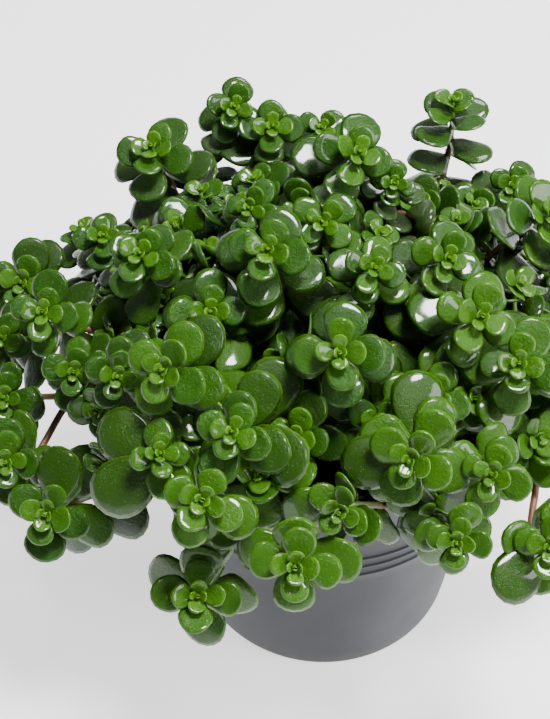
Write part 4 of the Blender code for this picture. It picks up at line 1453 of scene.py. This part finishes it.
def pot_profile(look):
    """Half section of the pot: floor, inner wall, rolled lip, ribbed outer wall and foot."""
    lip = wall_radius(POT_HEIGHT) + POT_LIP_STEP
    lip_low = POT_HEIGHT - POT_LIP_HEIGHT
    inner_low = wall_radius(POT_FLOOR) - POT_WALL
    inner_high = wall_radius(POT_HEIGHT) - POT_WALL
    above_ribs = RIB_HEIGHTS[-1] + 4 * MM
    below_ribs = RIB_HEIGHTS[0] - 6 * MM
    foot_turn = 2 * MM
    upper = rounded(
        [
            (0, POT_FLOOR),
            (inner_low, POT_FLOOR),
            (inner_high, POT_HEIGHT),
            (lip, POT_HEIGHT),
            (lip, lip_low),
            (wall_radius(lip_low), lip_low - LIP_SLOPE),
            (wall_radius(above_ribs), above_ribs),
        ],
        ROUNDING,
    )
    ribs = []
    for middle in reversed(RIB_HEIGHTS):
        for i in range(RIB_STEPS + 1):
            height = middle + look.rib_width * (0.5 - i / RIB_STEPS)
            bulge = look.rib_depth * 0.5 * (1 + math.cos(2 * math.pi * (i / RIB_STEPS - 0.5)))
            ribs.append((wall_radius(height) + bulge, height))
    foot = [
        (wall_radius(below_ribs), below_ribs),
        (wall_radius(foot_turn), foot_turn),
        (POT_FOOT_RADIUS - FOOT_ROUNDING, 0),
        (0, 0),
    ]
    return [*upper, *ribs, *rounded(foot, FOOT_ROUNDING)]


def make_pot(look):
    """The pot with smooth walls, fine rings, rolled lip and drain holes."""
    pot = turned("pot_body", pot_profile(look), POT_SIDES)
    holes = bmesh.new()
    for i in range(DRAIN_COUNT):
        bmesh.ops.create_cone(
            holes,
            cap_ends=True,
            segments=DRAIN_SIDES,
            radius1=DRAIN_RADIUS,
            radius2=DRAIN_RADIUS,
            depth=4 * POT_FLOOR,
            matrix=Matrix.Translation(around(DRAIN_CIRCLE, 2 * math.pi * i / DRAIN_COUNT, 0)),
        )
    mesh = bpy.data.meshes.new("drains")
    holes.to_mesh(mesh)
    holes.free()
    cutter = new_object("drains", mesh)
    cut = pot.modifiers.new("drains", "BOOLEAN")
    cut.operation = "DIFFERENCE"
    cut.solver = "EXACT"
    cut.object = cutter
    made = settled(pot, "pot_body")
    bpy.data.objects.remove(cutter)
    made.data.materials.clear()
    made.data.materials.append(pot_material(look))
    made.data.shade_smooth()
    made.data.set_sharp_from_angle(angle=POT_CREASE)
    return finish_piece(made, "pot")


def soil_height(x, y):
    """Height of the lumpy soil at a place."""
    reach = min(1.0, math.hypot(x, y) / (wall_radius(SOIL_TOP) - POT_WALL))
    height = SOIL_TOP + SOIL_MOUND * (1 - reach)
    for density, roughness, growth, octaves, size in SOIL_NOISES:
        height += noise.fractal(Vector((x, y, 0)) * density, roughness, growth, octaves) * size
    return height


def make_soil(look):
    """The soil: a closed body with a rough top."""
    sides, rings = SOIL_SIDES, SOIL_RINGS
    angles = [2 * math.pi * i / sides for i in range(sides)]
    low = POT_FLOOR + GAP
    reach = wall_radius(SOIL_TOP) - POT_WALL - GAP
    foot = wall_radius(low) - POT_WALL - GAP
    points = [(0, 0, soil_height(0, 0))]
    for ring in range(1, rings + 1):
        for angle in angles:
            x, y, _ = around(reach * ring / rings, angle, 0)
            points.append((x, y, soil_height(x, y)))
    points += [around(foot, angle, low) for angle in angles]
    points.append((0, 0, low))
    faces = [(0, 1 + i, 1 + (i + 1) % sides) for i in range(sides)]
    for ring in range(rings):
        here, there = 1 + ring * sides, 1 + (ring + 1) * sides
        for i in range(sides):
            k = (i + 1) % sides
            faces.append((here + k, here + i, there + i, there + k))
    last = 1 + rings * sides
    faces += [(last + (i + 1) % sides, last + i, len(points) - 1) for i in range(sides)]
    made = mesh_object("soil_body", points, faces)
    made.data.materials.append(soil_material(look))
    made.data.shade_smooth()
    made.data.set_sharp_from_angle(angle=SOIL_CREASE)
    return finish_piece(made, "soil")


def crumb_tree():
    """Puts a grain on each point, turned and sized at random from a fixed seed."""
    tree, wires, given = node_tree("soil_crumbs", {"Grain": "Object", "Size": "Float", "Seed": "Int"})

    def drawn(low, high):
        feeds = {"Min": low, "Max": high, "Seed": given["Seed"]}
        return wires.node("FunctionNodeRandomValue", feeds, data_type="FLOAT_VECTOR").outputs[0]

    turn = drawn((0, 0, 0), (2 * math.pi,) * 3)
    size = wires.scaled(drawn(*CRUMB_SIZES), given["Size"])
    end_tree(wires, given, real_copies(wires, given, "Grain", {"Rotation": turn, "Scale": size}))
    return tree


def make_crumbs(look):
    """Bark crumbs and perlite grains, half sunk in the soil."""
    draw = random.Random(SEED + 5)
    spots, seeds = [], []
    for _ in range(look.crumbs):
        reach = (wall_radius(SOIL_TOP) - POT_WALL - CRUMB_CLEARANCE) * math.sqrt(draw.random())
        x, y, _ = around(reach, draw.uniform(0, 2 * math.pi), 0)
        spots.append((x, y, soil_height(x, y)))
        seeds.append(draw.random())
    grain_mesh = bpy.data.meshes.new("grain")
    shape = bmesh.new()
    bmesh.ops.create_icosphere(shape, subdivisions=1, radius=look.crumb_size / 2)
    shape.to_mesh(grain_mesh)
    shape.free()
    grain = new_object("grain", grain_mesh)
    points = mesh_object("crumb_points", spots, [])
    store(points.data, {"seed": seeds})
    inputs = {"Grain": grain, "Size": 1.0, "Seed": SEED, "Material": crumb_material(look)}
    add_tree(points, crumb_tree(), inputs)
    made = settled(points, "soil_crumbs")
    bpy.data.objects.remove(grain)
    return finish_piece(made, None)


@functools.cache
def grown_plant():
    """The plant, grown once for all operators."""
    return Plant()


# ---- Settings, operators and panel


def number_setting(name, description, default, **more):
    """A number that can be set in the panel."""
    return bpy.props.FloatProperty(name=name, description=description, default=default, **more)


def length_setting(name, description, millimetres):
    """A length that can be set in the panel."""
    return number_setting(name, description, millimetres * MM, unit="LENGTH")


def colour_setting(name, description, default):
    """A colour that can be set in the panel."""
    return bpy.props.FloatVectorProperty(
        name=name, description=description, default=default, subtype="COLOR", size=3, min=0, max=1
    )


class SedumLeafLook(bpy.types.PropertyGroup):
    """Sizes and colours of the leaves."""

    thickness: length_setting("Thickness", "Of a full-grown leaf", 1.5)
    plumpness: number_setting("Plumpness", "How full the leaves are", 1.0)
    wave: number_setting("Wave", "How far a leaf's edge waves", 0.08)
    unevenness: number_setting("Unevenness", "Share by which a leaf's width changes along it", 0.06)
    roughness: number_setting("Roughness", "Of the leaf's skin", 0.24)
    young: colour_setting("Young", "Leaves in the bud", (0.055, 0.155, 0.003))
    grown: colour_setting("Grown", "Full leaves", (0.0125, 0.055, 0.001))
    old: colour_setting("Old", "The oldest leaves", (0.008, 0.029, 0.001))
    # Painted shade and light: these two colours go on by the shoot's tone, greyer at the back and left,
    # brighter in front
    bloom_and_shade: colour_setting("Dusty", "Old leaves with a grey bloom", (0.017, 0.037, 0.006))
    fresh_and_lit: colour_setting("Fresh", "Leaves of the shoots in front", (0.034, 0.11, 0.001))
    margin: colour_setting("Margin", "The thin edge of a leaf", (0.1, 0.24, 0.015))
    speck: colour_setting("Specks", "Fine dots on the leaves", (0.24, 0.34, 0.16))


class SedumStemLook(bpy.types.PropertyGroup):
    """Size and colours of the stems."""

    radius: number_setting("Radius", "Of a full-grown stem", STEM_RADIUS, unit="LENGTH")
    young_stem: colour_setting("Young", "Stem at the tip", (0.1, 0.2, 0.03))
    red_stem: colour_setting("Red", "Stem below the leaves", (0.13, 0.05, 0.02))
    old_stem: colour_setting("Old", "Woody stem", (0.07, 0.04, 0.022))


class SedumPotLook(bpy.types.PropertyGroup):
    """Sizes and colour of the pot."""

    rib_width: length_setting("Ring width", "Of each raised ring", 2.4)
    rib_depth: length_setting("Ring depth", "Of each raised ring", 0.6)
    roughness: number_setting("Roughness", "Of the plastic", 0.36)
    colour: colour_setting("Colour", "Of the plastic", (0.011, 0.013, 0.019))


class SedumSoilLook(bpy.types.PropertyGroup):
    """Sizes and colours of the soil and its crumbs."""

    crumbs: bpy.props.IntProperty(name="Crumbs", description="How many lie on the soil", default=700)
    crumb_size: length_setting("Crumb size", "Across a crumb", 2.2)
    dark: colour_setting("Dark", "Moist peat", (0.014, 0.01, 0.007))
    light: colour_setting("Light", "Dry fibres", (0.06, 0.04, 0.026))
    bark: colour_setting("Bark", "Bark crumbs", (0.11, 0.06, 0.032))
    perlite: colour_setting("Perlite", "Pale grains", (0.62, 0.6, 0.55))


class SedumStageLook(bpy.types.PropertyGroup):
    """The floor and the lights."""

    floor: colour_setting("Floor", "The plain floor", (0.6, 0.6, 0.6))
    glow: number_setting("Glow", "How much the floor shines by itself", 1.25)
    key: number_setting("Key", "Watts of the key light", 12.0)
    top: number_setting("Top", "Watts of the light overhead", 50.0)
    side: number_setting("Side", "Watts of the light at the right", 26.0)
    sky: number_setting("Sky", "Strength of the surrounding light", 0.18)


class SEDUM_OT_pot(bpy.types.Operator):
    """Make the pot."""

    bl_idname = "sedum.pot"
    bl_label = "Pot"

    def execute(self, context):
        make_pot(context.scene.sedum_pot)
        return {"FINISHED"}


class SEDUM_OT_soil(bpy.types.Operator):
    """Make the soil and its crumbs."""

    bl_idname = "sedum.soil"
    bl_label = "Soil"

    def execute(self, context):
        make_soil(context.scene.sedum_soil)
        make_crumbs(context.scene.sedum_soil)
        return {"FINISHED"}


class SEDUM_OT_stems(bpy.types.Operator):
    """Make the stem and side shoots of each leafy stem."""

    bl_idname = "sedum.stems"
    bl_label = "Stems"

    def execute(self, context):
        look = context.scene.sedum_stems
        plant = grown_plant()
        material = stem_material(look)
        for name, members in plant.stems():
            made = stems_mesh(name + "_stem", members, plant.routes, look, material)
            finish_piece(made, name)
        return {"FINISHED"}


class SEDUM_OT_leaves(bpy.types.Operator):
    """Make the leaves of each leafy stem."""

    bl_idname = "sedum.leaves"
    bl_label = "Leaves"

    def execute(self, context):
        look = context.scene.sedum_leaves
        plant = grown_plant()
        leaf_object = plain_leaf()
        tree = leaf_tree()
        material = leaf_material(look)
        for name, members in plant.stems():
            leaves = [leaf for shoot in members for leaf in plant.leaves[shoot.number]]
            made = leaves_mesh(name + "_leaves", leaves, leaf_object, tree, look, material)
            finish_piece(made, name)
        bpy.data.objects.remove(leaf_object)
        return {"FINISHED"}


def add_floor(look):
    """A plain floor that shines a little by itself."""
    half = FLOOR_HALF
    corners = [(-half, -half, 0), (half, -half, 0), (half, half, 0), (-half, half, 0)]
    floor = mesh_object("floor", corners, [(0, 1, 2, 3)])
    made, wires, shader = new_material("pale_floor")
    settings = {
        "Base Color": look.floor,
        "Emission Color": (1, 1, 1),
        "Emission Strength": look.glow,
        "Roughness": 0.6,
    }
    wires.feed(shader, settings)
    floor.data.materials.append(made)
    floor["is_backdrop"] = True


def add_light(name, place, size, power):
    """A round light that shines on the plant."""
    light = bpy.data.lights.new(name, "AREA")
    light.shape = "DISK"
    light.size = size
    light.energy = power
    made = new_object(name, light)
    made.location = place
    made.rotation_euler = (Vector(LIGHT_TARGET) - Vector(place)).to_track_quat("-Z", "Y").to_euler()


def add_camera():
    """The camera at the place that the photograph was taken from."""
    camera = bpy.data.cameras.new("camera")
    camera.sensor_width = SENSOR_WIDTH
    camera.lens = PHOTO_FOCAL / PHOTO_HEIGHT * SENSOR_WIDTH
    made = new_object("camera", camera)
    made.location, _ = photo_ray(*PHOTO_MIDDLE)
    made.rotation_euler = (math.pi / 2 - VIEW_DOWN, 0, 0)
    return made


class SEDUM_OT_stage(bpy.types.Operator):
    """Make the floor, the lights and the camera."""

    bl_idname = "sedum.stage"
    bl_label = "Stage"

    def execute(self, context):
        look = context.scene.sedum_stage
        add_floor(look)
        for name, place, size in LIGHTS:
            add_light(name + "_light", place, size, getattr(look, name))
        world = bpy.data.worlds.new("studio")
        world.use_nodes = True
        sky = {"Color": (1, 1, 1), "Strength": look.sky}
        Wiring(world.node_tree).feed(world.node_tree.nodes["Background"], sky)
        context.scene.world = world
        context.scene.camera = add_camera()
        return {"FINISHED"}


class SEDUM_PT_panel(bpy.types.Panel):
    """Lists the pieces of the sedum."""

    bl_idname = "SEDUM_PT_panel"
    bl_label = "Potted sedum"
    bl_space_type = "VIEW_3D"
    bl_region_type = "UI"
    bl_category = "Sedum"

    def draw(self, context):
        for operator, setting, _ in STEPS:
            box = self.layout.box()
            box.operator(operator.bl_idname)
            look = getattr(context.scene, setting)
            for name in look.bl_rna.properties.keys():
                if name not in ("rna_type", "name"):
                    box.prop(look, name)


# Each operator with the name and the class of its settings, in the order in which they run
STEPS = (
    (SEDUM_OT_stage, "sedum_stage", SedumStageLook),
    (SEDUM_OT_pot, "sedum_pot", SedumPotLook),
    (SEDUM_OT_soil, "sedum_soil", SedumSoilLook),
    (SEDUM_OT_stems, "sedum_stems", SedumStemLook),
    (SEDUM_OT_leaves, "sedum_leaves", SedumLeafLook),
)


def register():
    for operator, setting, group in STEPS:
        bpy.utils.register_class(group)
        bpy.utils.register_class(operator)
        setattr(bpy.types.Scene, setting, bpy.props.PointerProperty(type=group))
    bpy.utils.register_class(SEDUM_PT_panel)


def unregister():
    bpy.utils.unregister_class(SEDUM_PT_panel)
    for operator, setting, group in reversed(STEPS):
        delattr(bpy.types.Scene, setting)
        bpy.utils.unregister_class(operator)
        bpy.utils.unregister_class(group)


def main():
    register()
    for operator, _, _ in STEPS:
        group, step = operator.bl_idname.split(".")
        getattr(getattr(bpy.ops, group), step)()
    boxes = {"cad": SOLIDS_BOX, "visual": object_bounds()}
    {name: [list(corner) for corner in box] for name, box in boxes.items()}


if __name__ == "__main__":
    main()
